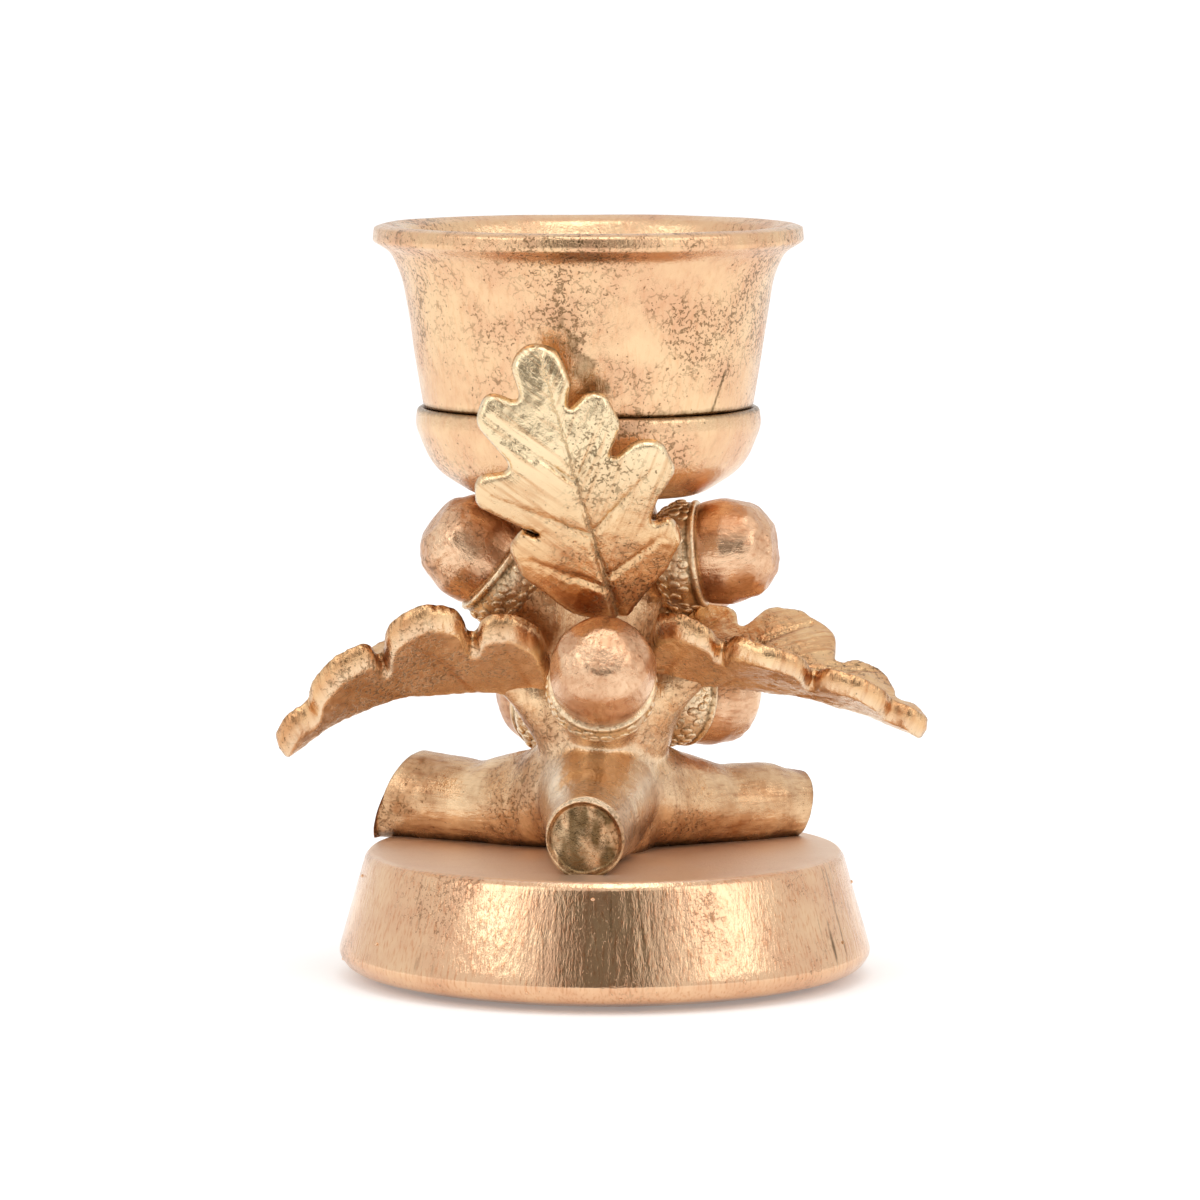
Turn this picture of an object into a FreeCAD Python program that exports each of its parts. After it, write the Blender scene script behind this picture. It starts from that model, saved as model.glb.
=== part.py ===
# Oak leaf and acorn candle holder, in millimetres.
# The origin is the middle of the foot on the table, +Z is up and +Y is away from the front leaf.
import math
import os
import re

import FreeCAD
import Part
import Sketcher
from FreeCAD import Vector

os.makedirs("parts", exist_ok=True)
doc = FreeCAD.newDocument("oak_candle_holder")

# Driving sizes, one row each: name, value, what it is
SIZES = [
    ("seat_clearance", 0.1, "play round a peg, spigot or rod in its hole"),
    ("cut_overrun", 2, "how far a cutting tool runs past the face it cuts"),
    ("base_height", 17.1, "table to the flat top of the base"),
    ("base_radius", 36, "widest radius of the base"),
    ("base_widest_height", 3.4, "height of the widest circle"),
    ("base_foot_radius", 31.2, "radius of the flat underside"),
    ("base_foot_flatness_share", 1.95, "rounding under the widest circle, radius over half its chord"),
    ("base_top_radius", 32, "radius of the flat top"),
    ("base_edge_chamfer", 0.6, "broken edge round the top"),
    ("felt_radius", 27, "felt disc under the base"),
    ("felt_thickness", 1.2, "felt disc"),
    ("felt_recess_depth", 0.7, "how deep the felt lies in the base"),
    ("nut_recess_radius", 6.6, "pocket for washer and nut in the underside"),
    ("nut_recess_depth", 6.2, "depth of that pocket above the felt"),
    ("rod_radius", 2, "through bolt"),
    ("rod_end_proud", 0.8, "bolt end below the nut"),
    ("bolt_head_radius", 3.9, "pan head in the candle cup"),
    ("bolt_head_height", 2.3, "pan head"),
    ("bolt_slot_width", 1, "screwdriver slot"),
    ("bolt_slot_depth", 0.9, "screwdriver slot"),
    ("washer_radius", 5.4, "washer"),
    ("washer_thickness", 1, "washer"),
    ("hex_nut_width", 7, "across flats"),
    ("hex_nut_height", 3.2, "hexagon nut"),
    ("cup_shift", 2.2, "how far the cup stands left of the base's middle"),
    ("crown_shift", 0.6, "how far the trunk stands left of the base's middle"),
    ("low_row_rise", 20, "top of the base to the low row of acorns"),
    ("row_pitch", 19.5, "low row of acorns to the high row"),
    ("head_rise", 8.3, "high row of acorns to the underside of the bowl"),
    ("trunk_radius", 7.9, "trunk at its narrowest"),
    ("trunk_foot_radius", 12.5, "trunk where it stands on the base"),
    ("trunk_foot_flatness_share", 3.4, "hollow flare of the foot, radius over half its chord"),
    ("trunk_head_radius", 7.4, "trunk under the bowl"),
    ("bowl_radius", 23.1, "widest radius of the bowl"),
    ("bowl_foot_radius", 14.4, "flat under the bowl"),
    ("bowl_flatness_share", 1.42, "side of the bowl, radius over half its chord"),
    ("bowl_height", 12.2, "underside of the bowl to its seam with the cup"),
    ("bowl_widest_share", 0.828, "height of the widest circle over the bowl's height"),
    ("bowl_lip_step", 0.5, "how far the bowl draws in at the seam"),
    ("spigot_radius", 19.6, "cup spigot inside the bowl"),
    ("spigot_height", 5, "cup spigot below the seam"),
    ("candle_bore_radius", 20.5, "takes a tealight of 39 mm"),
    ("mouth_depth", 10.3, "top of the lip to where the straight bore starts"),
    ("cup_floor_rise", 1.6, "floor of the bore above the seam"),
    ("cup_height", 24.5, "seam to the top of the lip"),
    ("cup_foot_radius", 22.4, "cup at the seam"),
    ("cup_neck_radius", 24.8, "cup where the lip starts to flare"),
    ("cup_flare_height", 7.2, "height of the flare below the top"),
    ("cup_flare_flatness_share", 2.2, "hollow curve under the lip, radius over half its chord"),
    ("lip_radius", 28.9, "outside of the lip"),
    ("lip_height", 2, "height of the lip's outer face"),
    ("lip_inside_radius", 26.6, "mouth of the cup at its top"),
    ("lip_slope_drop", 0.5, "how much the lip's top falls outwards"),
    ("stub_foot_radius", 8.2, "a cut branch where it leaves the trunk"),
    ("stub_flare_reach", 15, "where the flare of a cut branch ends"),
    ("front_stub_bearing", 265.5, "front cut branch, degrees from +X"),
    ("front_stub_radius", 4.6, "front cut branch"),
    ("front_stub_reach", 25.2, "front cut branch, trunk axis to end"),
    ("left_stub_bearing", 150, "left cut branch"),
    ("left_stub_radius", 5.4, "left cut branch"),
    ("left_stub_reach", 31.4, "left cut branch"),
    ("left_stub_lean", 17, "its end looks up by that many degrees"),
    ("right_stub_bearing", 30, "right cut branch"),
    ("right_stub_radius", 4.6, "right cut branch"),
    ("right_stub_reach", 30, "right cut branch"),
    ("stub_dish_depth", 0.6, "hollow in the end of the front cut branch"),
    ("stub_dish_rim", 0.7, "rim left round that hollow"),
    ("nut_radius", 7, "acorn at its widest"),
    ("nut_length", 10.4, "acorn from the cap's rim to the tip"),
    ("nut_swell_length", 2.6, "rim of the cap to the widest circle"),
    ("nut_rim_radius", 6.6, "acorn where it enters the cap"),
    ("nut_shoulder_radius", 2.4, "where the rounded end turns to the nib"),
    ("nut_shoulder_length", 9.5, "rim of the cap to that place"),
    ("nut_belly_radius", 6.4, "acorn halfway along its rounded end"),
    ("nut_belly_length", 5.7, "rim of the cap to that place"),
    ("nut_cheek_radius", 4.7, "acorn near the end"),
    ("nut_cheek_length", 8.2, "rim of the cap to that place"),
    ("nib_radius", 0.7, "nib at the tip"),
    ("cap_radius", 7.2, "cap at its rim"),
    ("cap_rim_height", 0.9, "raised band round the cap's rim"),
    ("cap_rim_step", 0.5, "how far that band stands out"),
    ("cap_depth", 5.6, "cap from rim to crown"),
    ("cap_shoulder_depth", 2.8, "where the cap turns in"),
    ("cap_shoulder_radius", 6.6, "cap there"),
    ("cap_crown_radius", 3.4, "flat back of the cap"),
    ("stalk_radius", 1.6, "peg that holds an acorn"),
    ("stalk_length", 4, "peg, from the back of the cap"),
    ("leaf_thickness", 2.8, "all leaves"),
    ("leaf_length", 39.4, "front leaf, from root to tip"),
    ("leaf_half_width", 13.2, "midrib to the furthest lobe"),
    ("tang_radius", 1, "peg at the root of a leaf"),
    ("tang_length", 4.5, "peg at the root of a leaf"),
    ("tang_embed", 2, "how far the peg reaches into the leaf"),
]

# Acorns: the row each hangs in, its bearing from +X and rise from level in degrees, then two shares:
# trunk axis to rim over the trunk's radius, and the rim's height over its row in nut radii
ACORN_SHARES = [
    ("front", "low", 271, 31, 1.886, 0.629),
    ("back", "high", 48, 8, 1.823, -0.557),
    ("upper_right", "high", -10, 6, 1.766, 0.114),
    ("upper_left", "high", 186, 38, 1.81, -0.114),
    ("lower_right", "low", 34, -5, 1.823, 0.029),
    ("lower_left", "low", 114, 10, 1.797, -0.214),
]
ACORN_FIELDS = ("bearing", "rise", "reach_share", "height_share")

# Leaves: row, then bearing, rise and roll of the leaf's own length in degrees. Shares: its length over the
# front leaf's, how far the tip leans out and how high the bend stands over its own length. Degrees: how far
# the left and right halves lean up, and the root's bearing. Shares: the root's reach and height, as above.
LEAF_SHARES = [
    ("front", "high", 180, 74, -90, 1, 0.457, 0.178, 6, 6, 285, 1.089, -1),
    ("back", "high", 20, 74, -90, 1, 0.457, 0.178, 6, 6, 125, 1.089, -1),
    ("left", "low", 190, -11, 0, 0.901, 0, 0.141, 34, 20, 190, 1.139, 0.129),
    ("right", "low", -12, -9, 0, 0.926, 0, 0.071, 25, 20, -25, 1.139, 0.329),
]
LEAF_FIELDS = ("bearing", "rise", "roll", "length_share", "lean_share", "bend_share", "left_tilt",
               "right_tilt", "root_bearing", "reach_share", "height_share")
for kind, fields, rows in (("acorn", ACORN_FIELDS, ACORN_SHARES), ("leaf", LEAF_FIELDS, LEAF_SHARES)):
    for where, row, *values in rows:
        SIZES += [("%s_%s_%s" % (where, kind, field), value, "") for field, value in zip(fields, values)]

sheet = doc.addObject("Spreadsheet::Sheet", "Sizes")
for row, (alias, value, meaning) in enumerate(SIZES, start=1):
    sheet.set("A%d" % row, alias)
    sheet.set("B%d" % row, str(value))
    sheet.set("C%d" % row, meaning)
    sheet.setAlias("B%d" % row, alias)
doc.recompute()


def size(expression):
    """The value of a sum of sheet names, such as 'lip_radius - nib_radius'."""
    return float(sheet.evalExpression(expression))


def bound(expression):
    """The same sum, written as an expression that a feature can be bound to."""
    aliases = {alias for alias, value, meaning in SIZES}
    return re.sub(r"\w+", lambda word: "Sizes." + word[0] if word[0] in aliases else word[0], expression)


def origin_plane(body, role):
    """The body's own origin plane of that role."""
    return next(item for item in body.Origin.OriginFeatures if item.Role == role)


def pin_point(sketch, geometry, end, across, up):
    """Hold one end of an edge at a place given by two sums of sheet names."""
    for axis, kind, place in ((-2, "DistanceX", across), (-1, "DistanceY", up)):
        if place == "0":
            sketch.addConstraint(Sketcher.Constraint("PointOnObject", geometry, end, axis))
        else:
            rule = Sketcher.Constraint(kind, geometry, end, size(place))
            sketch.setExpression("Constraints[%d]" % sketch.addConstraint(rule), bound(place))


def bulged_arc(start, finish, flatness):
    """The short arc between two points, drawn anticlockwise.

    Its radius is the flatness times half its chord, and a negative flatness bulges to the left.
    """
    chord = finish - start
    half = chord.Length / 2
    depth = half * (abs(flatness) - math.sqrt(flatness * flatness - 1))
    side = Vector(chord.y, -chord.x, 0).normalize()
    middle = (start + finish) / 2 + side * math.copysign(depth, flatness)
    return Part.Arc(start, middle, finish) if flatness > 0 else Part.Arc(finish, middle, start)


def closed_profile(body, name, role, outline):
    """A closed sketch. Each corner is (across, up), or (across, up, flatness) where an arc leaves it."""
    sketch = body.newObject("Sketcher::SketchObject", name)
    sketch.AttachmentSupport = [(origin_plane(body, role), "")]
    sketch.MapMode = "FlatFace"
    corners = [Vector(size(corner[0]), size(corner[1]), 0) for corner in outline]
    for index, corner in enumerate(outline):
        start, finish = corners[index], corners[(index + 1) % len(corners)]
        if len(corner) == 3:
            sketch.addGeometry(bulged_arc(start, finish, size(corner[2])))
        else:
            sketch.addGeometry(Part.LineSegment(start, finish))
    for index in range(len(outline)):
        following = (index + 1) % len(outline)
        ends = (2 if arc_runs_forward(sketch, index, corners[index]) else 1)
        starts = (1 if arc_runs_forward(sketch, following, corners[following]) else 2)
        sketch.addConstraint(Sketcher.Constraint("Coincident", index, ends, following, starts))
    for index, corner in enumerate(outline):
        end = 1 if arc_runs_forward(sketch, index, corners[index]) else 2
        pin_point(sketch, index, end, corner[0], corner[1])
        if len(corner) == 3:
            target = outline[(index + 1) % len(outline)]
            chord = "sqrt((%s - (%s))^2 + (%s - (%s))^2)" % (corner[0], target[0], corner[1], target[1])
            radius = "abs(%s) * %s / 2" % (corner[2], chord)
            rule = Sketcher.Constraint("Radius", index, size(radius))
            sketch.setExpression("Constraints[%d]" % sketch.addConstraint(rule), bound(radius))
    return sketch


def arc_runs_forward(sketch, index, start):
    """An arc in a sketch runs anticlockwise, so its first end may be the outline's second."""
    return (sketch.Geometry[index].StartPoint - start).Length < 1e-6


def turned_body(label, outline):
    """A solid of revolution about the body's own Z axis."""
    body = doc.addObject("PartDesign::Body", label)
    body.Label = label
    sketch = closed_profile(body, label + "_profile", "XZ_Plane", outline)
    turn = body.newObject("PartDesign::Revolution", label + "_turn")
    turn.Profile = sketch
    turn.ReferenceAxis = (sketch, ["V_Axis"])
    turn.Angle = 360
    sketch.Visibility = False
    return body


def place(item, x="0", y="0", z="0"):
    """Bind the place of an object to three sums of sheet names."""
    for axis, distance in (("x", x), ("y", y), ("z", z)):
        if distance != "0":
            item.setExpression("Placement.Base." + axis, bound(distance))


def primitive(kind, name, **sizes):
    """A Part primitive with each size bound to the sheet."""
    item = doc.addObject("Part::" + kind, name)
    for key, value in sizes.items():
        item.setExpression(key, bound(value))
    return item


def stand(item, bearing, reach, height, turn, root_bearing=None, inner=None):
    """Bind a placement: out from the trunk's axis at a bearing and height, then turned."""
    where = root_bearing or bearing
    x = "0 - crown_shift + %s * cos(%s)" % (reach, where)
    y = "%s * sin(%s)" % (reach, where)
    outer = "placement(vector(%s; %s; %s); %s)" % (x, y, height, turn)
    item.setExpression("Placement", bound(outer + " * " + inner if inner else outer))


def fused(name, items):
    joined = doc.addObject("Part::MultiFuse", name)
    joined.Shapes = items
    joined.Refine = False
    return joined


def cut(name, base, tool):
    result = doc.addObject("Part::Cut", name)
    result.Base = base
    result.Tool = tool
    return result


subparts = []

# Heights that several pieces share
rows = {"low": "base_height + low_row_rise", "high": "base_height + low_row_rise + row_pitch"}
crown_top = rows["high"] + " + head_rise"
seam = crown_top + " + bowl_height"
overall_height = seam + " + cup_height"
cup_floor = seam + " + cup_floor_rise"
spigot_bottom = seam + " - spigot_height"
head_bottom = cup_floor + " - bolt_head_height"

# Base: a bark edged plinth with a hole for the bolt, a pocket for its nut and a recess for the felt
base_bottom = "felt_thickness - felt_recess_depth"
base_body = turned_body("base_blank", [
    ("0", base_bottom),
    ("base_foot_radius", base_bottom, "base_foot_flatness_share"),
    ("base_radius", "base_widest_height"),
    ("base_top_radius", "base_height - base_edge_chamfer"),
    ("base_top_radius - base_edge_chamfer", "base_height"),
    ("0", "base_height"),
])
bolt_hole = primitive("Cylinder", "base_bolt_hole", Radius="rod_radius + seat_clearance",
                      Height="base_height + cut_overrun + cut_overrun")
place(bolt_hole, x="0 - cup_shift", z="0 - cut_overrun")
nut_pocket = primitive("Cylinder", "base_nut_pocket", Radius="nut_recess_radius",
                       Height="nut_recess_depth + felt_thickness + cut_overrun")
place(nut_pocket, x="0 - cup_shift", z="0 - cut_overrun")
felt_recess = primitive("Cylinder", "base_felt_recess", Radius="felt_radius + seat_clearance",
                        Height="felt_thickness + cut_overrun")
place(felt_recess, z="0 - cut_overrun")
base_tools = fused("base_tools", [bolt_hole, nut_pocket, felt_recess])
subparts.append(cut("base_plinth", base_body, base_tools))

# Felt disc that the holder stands on
felt = primitive("Cylinder", "felt_pad", Radius="felt_radius", Height="felt_thickness")
subparts.append(felt)

# Through bolt with a slotted pan head, washer and hexagon nut in the base
nut_pocket_top = "felt_thickness + nut_recess_depth"
washer_bottom = nut_pocket_top + " - washer_thickness"
hex_nut_bottom = washer_bottom + " - hex_nut_height"
rod_bottom = hex_nut_bottom + " - rod_end_proud"
rod = primitive("Cylinder", "bolt_rod", Radius="rod_radius",
                Height=cup_floor + " - bolt_slot_depth - (" + rod_bottom + ")")
place(rod, x="0 - cup_shift", z=rod_bottom)
head = primitive("Cylinder", "bolt_head", Radius="bolt_head_radius", Height="bolt_head_height")
place(head, x="0 - cup_shift", z=head_bottom)
slot = primitive("Box", "bolt_slot", Length="bolt_slot_width", Height="bolt_slot_depth + cut_overrun",
                 Width="bolt_head_radius + bolt_head_radius + cut_overrun + cut_overrun")
place(slot, x="0 - cup_shift - bolt_slot_width / 2", y="0 - bolt_head_radius - cut_overrun",
      z=cup_floor + " - bolt_slot_depth")
subparts.append(cut("through_bolt", fused("bolt_blank", [rod, head]), slot))

washer_disc = primitive("Cylinder", "washer_disc", Radius="washer_radius", Height="washer_thickness")
washer_hole = primitive("Cylinder", "washer_hole", Radius="rod_radius + seat_clearance",
                        Height="washer_thickness + cut_overrun + cut_overrun")
for item, drop in ((washer_disc, ""), (washer_hole, " - cut_overrun")):
    place(item, x="0 - cup_shift", z=washer_bottom + drop)
subparts.append(cut("base_washer", washer_disc, washer_hole))

hex_blank = doc.addObject("Part::Prism", "hex_nut_blank")
hex_blank.Polygon = 6
hex_blank.setExpression("Circumradius", bound("hex_nut_width / 2 / cos(30)"))
hex_blank.setExpression("Height", bound("hex_nut_height"))
hex_hole = primitive("Cylinder", "hex_nut_hole", Radius="rod_radius",
                     Height="hex_nut_height + cut_overrun + cut_overrun")
for item, drop in ((hex_blank, ""), (hex_hole, " - cut_overrun")):
    place(item, x="0 - cup_shift", z=hex_nut_bottom + drop)
subparts.append(cut("hex_nut", hex_blank, hex_hole))

# Bowl: an acorn cup shape with a socket for the candle cup's spigot
bowl = turned_body("cup_bowl", [
    ("rod_radius + seat_clearance", crown_top),
    ("bowl_foot_radius", crown_top, "bowl_flatness_share"),
    ("bowl_radius", crown_top + " + bowl_height * bowl_widest_share"),
    ("bowl_radius - bowl_lip_step", seam),
    ("spigot_radius + seat_clearance", seam),
    ("spigot_radius + seat_clearance", spigot_bottom),
    ("rod_radius + seat_clearance", spigot_bottom),
])
place(bowl, x="0 - cup_shift")
subparts.append(bowl)

# Candle cup: spigot, straight bore for the candle, wall that widens upwards and a rolled lip
bore_top = overall_height + " - mouth_depth"
flare_bottom = overall_height + " - cup_flare_height"
lip_top = overall_height + " - lip_slope_drop"
cup = turned_body("candle_cup", [
    ("rod_radius + seat_clearance", spigot_bottom),
    ("spigot_radius", spigot_bottom),
    ("spigot_radius", seam),
    ("cup_foot_radius", seam),
    ("cup_neck_radius", flare_bottom, "0 - cup_flare_flatness_share"),
    ("lip_radius", lip_top + " - lip_height"),
    ("lip_radius", lip_top),
    ("lip_inside_radius", overall_height),
    ("candle_bore_radius", bore_top),
    ("candle_bore_radius", cup_floor),
    ("bolt_head_radius + seat_clearance", cup_floor),
    ("bolt_head_radius + seat_clearance", head_bottom),
    ("rod_radius + seat_clearance", head_bottom),
])
place(cup, x="0 - cup_shift")
subparts.append(cup)

# Branch crown: a trunk with three cut branches lying on the base
trunk = turned_body("trunk", [
    ("0", "base_height"),
    ("trunk_foot_radius", "base_height", "0 - trunk_foot_flatness_share"),
    ("trunk_radius", rows["low"]),
    ("trunk_head_radius", crown_top),
    ("0", crown_top),
])
place(trunk, x="0 - crown_shift")

stubs = []
for side in ("front", "right", "left"):
    bearing, radius, reach = ["%s_stub_%s" % (side, field) for field in ("bearing", "radius", "reach")]
    flare = primitive("Cone", side + "_stub_flare", Radius1="stub_foot_radius", Radius2=radius,
                      Height="stub_flare_reach")
    shaft = primitive("Cylinder", side + "_stub_shaft", Radius=radius,
                      Height=reach + (" + left_stub_radius" if side == "left" else ""))
    for item in (flare, shaft):
        stand(item, bearing, "0", "base_height + " + radius, "rotation(%s; 90; 0)" % bearing)
    stubs += [flare, shaft]
under_base = primitive("Box", "crown_trim", Length="base_radius * 4", Width="base_radius * 4",
                       Height="base_height")
place(under_base, x="0 - base_radius * 2", y="0 - base_radius * 2")
crown_blank = cut("crown_blank", fused("crown_wood", [trunk] + stubs), under_base)

# Acorns: a smooth nut face to face with a cap, whose stalk sits in a socket of the crown
sockets = []
for where, row, *values in ACORN_SHARES:
    bearing, rise, reach_share, height_share = ["%s_acorn_%s" % (where, field) for field in ACORN_FIELDS]
    reach = "trunk_radius * " + reach_share
    height = "%s + nut_radius * %s" % (rows[row], height_share)
    turn = "rotation(%s; 90 - %s; 0)" % (bearing, rise)
    nut = turned_body("acorn_%s_nut" % where, [
        ("0", "0"),
        ("nut_rim_radius", "0"),
        ("nut_radius", "nut_swell_length"),
        ("nut_belly_radius", "nut_belly_length"),
        ("nut_cheek_radius", "nut_cheek_length"),
        ("nut_shoulder_radius", "nut_shoulder_length"),
        ("nib_radius", "nut_length - nib_radius"),
        ("nib_radius", "nut_length"),
        ("0", "nut_length"),
    ])
    cap = turned_body("acorn_%s_cap" % where, [
        ("0", "0"),
        ("0", "0 - cap_depth - stalk_length"),
        ("stalk_radius", "0 - cap_depth - stalk_length"),
        ("stalk_radius", "0 - cap_depth"),
        ("cap_crown_radius", "0 - cap_depth"),
        ("cap_shoulder_radius", "0 - cap_shoulder_depth"),
        ("cap_radius - cap_rim_step", "0 - cap_rim_height"),
        ("cap_radius", "0 - cap_rim_height"),
        ("cap_radius", "0"),
    ])
    for body in (nut, cap):
        stand(body, bearing, reach, height, turn)
        subparts.append(body)
    hole = primitive("Cylinder", "socket_acorn_" + where, Radius="stalk_radius + seat_clearance",
                     Height="stalk_length + seat_clearance + cut_overrun")
    deep = "cap_depth + stalk_length + seat_clearance"
    stand(hole, bearing, "(%s - (%s) * cos(%s))" % (reach, deep, rise),
          "%s - (%s) * sin(%s)" % (height, deep, rise), turn)
    sockets.append(hole)

# Outline of a leaf seen flat, root first, up its right side and back down its left.
# Shares of the length and of the half width; a third number rounds a lobe, as radius over half its chord.
UPRIGHT_LOBE_SHARES = [
    (0, -0.12), (0.04, -0.25), (0.215, -0.8, 1.2), (0.315, -0.8), (0.296, -0.56), (0.38, -0.73),
    (0.47, -0.94, 1.15), (0.586, -0.85), (0.547, -0.33), (0.657, -0.59, 1.15), (0.78, -0.455),
    (0.746, -0.09), (0.838, -0.23), (0.95, -0.15, 1.15), (0.945, 0.3), (0.817, 0.295),
    (0.88, 0.61, 1.15), (0.764, 0.74), (0.61, 0.545), (0.618, 0.97, 1.2), (0.49, 0.91),
    (0.359, 0.48), (0.403, 0.64, 1.15), (0.293, 0.8), (0.068, 0.45), (0, 0.12),
]
# The side leaves show their near edge, which is the left side here and the right side when mirrored
SIDE_LOBE_SHARES = [
    (0, -0.14), (0.04, -0.5), (0.13, -0.8, 1.3), (0.25, -0.72), (0.27, -0.5), (0.32, -0.8, 1.2),
    (0.6, -0.72), (0.63, -0.3), (0.68, -0.48, 1.2), (0.85, -0.3), (0.86, -0.14),
    (0.955, -0.2, 1.15), (0.955, 0.28), (0.88, 0.26), (0.86, 0.56, 1.3), (0.64, 0.68),
    (0.6, 0.36), (0.58, 0.86, 1.2), (0.32, 0.82), (0.28, 0.48), (0.24, 0.76, 1.3), (0.05, 0.72),
    (0.02, 0.4), (0, 0.14),
]


def bent_half(body, sketch, name, side, tilt):
    """One half of the leaf blank: the bent band drawn out sideways and upwards."""
    pad = body.newObject("PartDesign::Pad", name)
    pad.Profile = sketch
    pad.UseCustomVector = True
    pad.AlongSketchNormal = False
    pad.Direction = Vector(0, side, 0)
    pad.setExpression("Direction.y", bound("%d * cos(%s)" % (side, tilt)))
    pad.setExpression("Direction.z", bound("sin(%s)" % tilt))
    pad.setExpression("Length", bound("(leaf_half_width + cut_overrun) / cos(%s)" % tilt))


def leaf(where, row, shares, mirrored):
    """A lobed leaf, bent along its length and folded up from its midrib, with a peg at its root."""
    (bearing, rise, roll, length_share, lean_share, bend_share, left_tilt, right_tilt, root_bearing,
     reach_share, height_share) = ["%s_leaf_%s" % (where, field) for field in LEAF_FIELDS]
    length = "(leaf_length * %s)" % length_share
    lean = "(%s * %s)" % (length, lean_share)
    bend = "(%s * %s)" % (length, bend_share)
    reach = "trunk_radius * " + reach_share
    height = "%s + nut_radius * %s" % (rows[row], height_share)
    chord = "sqrt(%s^2 + %s^2)" % (length, lean)
    back, up = "leaf_thickness * %s / %s" % (lean, chord), "leaf_thickness * %s / %s" % (length, chord)
    flatness = "(%s / %s / 4 + %s / %s)" % (chord, bend, bend, chord)
    blank = doc.addObject("PartDesign::Body", "leaf_%s_blank" % where)
    band = closed_profile(blank, "leaf_%s_band" % where, "XZ_Plane", [
        ("0", "0", "0 - " + flatness),
        (length, lean),
        ("%s - %s" % (length, back), "%s + %s" % (lean, up), flatness),
        ("0 - " + back, up),
    ])
    bent_half(blank, band, "leaf_%s_left_half" % where, 1, left_tilt)
    bent_half(blank, band, "leaf_%s_right_half" % where, -1, right_tilt)

    stencil = doc.addObject("PartDesign::Body", "leaf_%s_stencil" % where)
    hand = -1 if mirrored else 1
    corners = []
    for along, across, *rounding in shares:
        corner = ("%s * %s" % (length, along) if along else "0", "leaf_half_width * %s" % (hand * across))
        corners.append(corner + tuple(str(share) for share in rounding))
    if mirrored:
        corners = reversed_outline(corners)
    outline = closed_profile(stencil, "leaf_%s_outline" % where, "XY_Plane", corners)
    cutter = stencil.newObject("PartDesign::Pad", "leaf_%s_cutter" % where)
    cutter.Profile = outline
    cutter.Midplane = True
    cutter.setExpression("Length", bound(length + " * 4"))
    blade = doc.addObject("Part::Common", "leaf_%s_blade" % where)
    blade.Base = blank
    blade.Tool = stencil
    blade.Refine = False

    slant = "atan(%s / %s)" % (lean, length)
    tang = primitive("Cylinder", "leaf_%s_tang" % where, Radius="tang_radius",
                     Height="tang_length + tang_embed")
    tang.setExpression("Placement", bound(peg_place("tang_length", back, up, slant)))
    whole = fused("leaf_" + where, [blade, tang])
    turn = "rotation(%s; 0 - %s; %s)" % (bearing, rise, roll)
    stand(whole, bearing, reach, height, turn, root_bearing)
    hole = primitive("Cylinder", "socket_leaf_" + where, Radius="tang_radius + seat_clearance",
                     Height="tang_length + seat_clearance + cut_overrun")
    deep = "(tang_length + seat_clearance)"
    stand(hole, bearing, reach, height, turn, root_bearing, peg_place(deep, back, up, slant))
    sockets.append(hole)
    return whole


def peg_place(depth, back, up, slant):
    """Where a leaf's peg starts: a depth behind the root, in the middle of the leaf's thickness."""
    along = "0 - %s * cos(%s) - %s / 2" % (depth, slant, back)
    out = "%s / 2 - %s * sin(%s)" % (up, depth, slant)
    return "placement(vector(%s; 0; %s); rotation(0; 90 deg - %s; 0))" % (along, out, slant)


def reversed_outline(corners):
    """The same outline run the other way, with each arc still leaving the corner it starts from."""
    turned = []
    for index in range(len(corners), 0, -1):
        corner, before = corners[index % len(corners)], corners[index - 1]
        turned.append(corner[:2] + before[2:])
    return turned


for where, row, *values in LEAF_SHARES:
    shares = UPRIGHT_LOBE_SHARES if row == "high" else SIDE_LOBE_SHARES
    subparts.append(leaf(where, row, shares, where == "right"))

# The left cut branch is sawn off at a slant, and the front one is dished
saw = primitive("Cylinder", "left_stub_saw", Radius="left_stub_radius * 3", Height="left_stub_radius * 2")
stand(saw, "left_stub_bearing", "left_stub_reach", "base_height + left_stub_radius",
      "rotation(left_stub_bearing; 90 - left_stub_lean; 0)")
dish = primitive("Cylinder", "front_stub_dish", Radius="front_stub_radius - stub_dish_rim",
                 Height="stub_dish_depth + cut_overrun")
stand(dish, "front_stub_bearing", "(front_stub_reach - stub_dish_depth)",
      "base_height + front_stub_radius", "rotation(front_stub_bearing; 90; 0)")

# The crown is drilled for the bolt and for every peg
crown_hole = primitive("Cylinder", "crown_bolt_hole", Radius="rod_radius + seat_clearance",
                       Height=crown_top + " + cut_overrun")
place(crown_hole, x="0 - cup_shift")
crown_tools = fused("crown_tools", [crown_hole, saw, dish] + sockets)
subparts.append(cut("branch_crown", crown_blank, crown_tools))

doc.recompute()
for item in doc.Objects:
    if "Invalid" in item.State or "Error" in item.State:
        raise RuntimeError("%s failed: %s" % (item.Name, item.getStatusString()))
for item in subparts:
    if item.Shape.isNull() or not item.Shape.isValid():
        raise RuntimeError("%s has no valid shape" % item.Name)
    item.Label = item.Name
    item.Shape.exportStep("parts/%s.step" % item.Label)
    print("%-24s %10.1f mm3" % (item.Label, item.Shape.Volume))
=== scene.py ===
# %% [markdown]
# # Oak leaf and acorn candle holder
#
# A small gilt candle holder. A round plinth carries a piece of cut branch, the branch carries six
# acorns and four oak leaves, and an acorn cup on top of it carries the flared cup for the candle.
# All but four hidden pieces are made here in metres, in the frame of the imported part, and each stands
# where its plain counterpart of the part stands.

# %% The frame
import math

import bmesh
import bpy
import numpy as np
from mathutils import Euler, Matrix, Vector, noise
from mathutils.geometry import delaunay_2d_cdt


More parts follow.
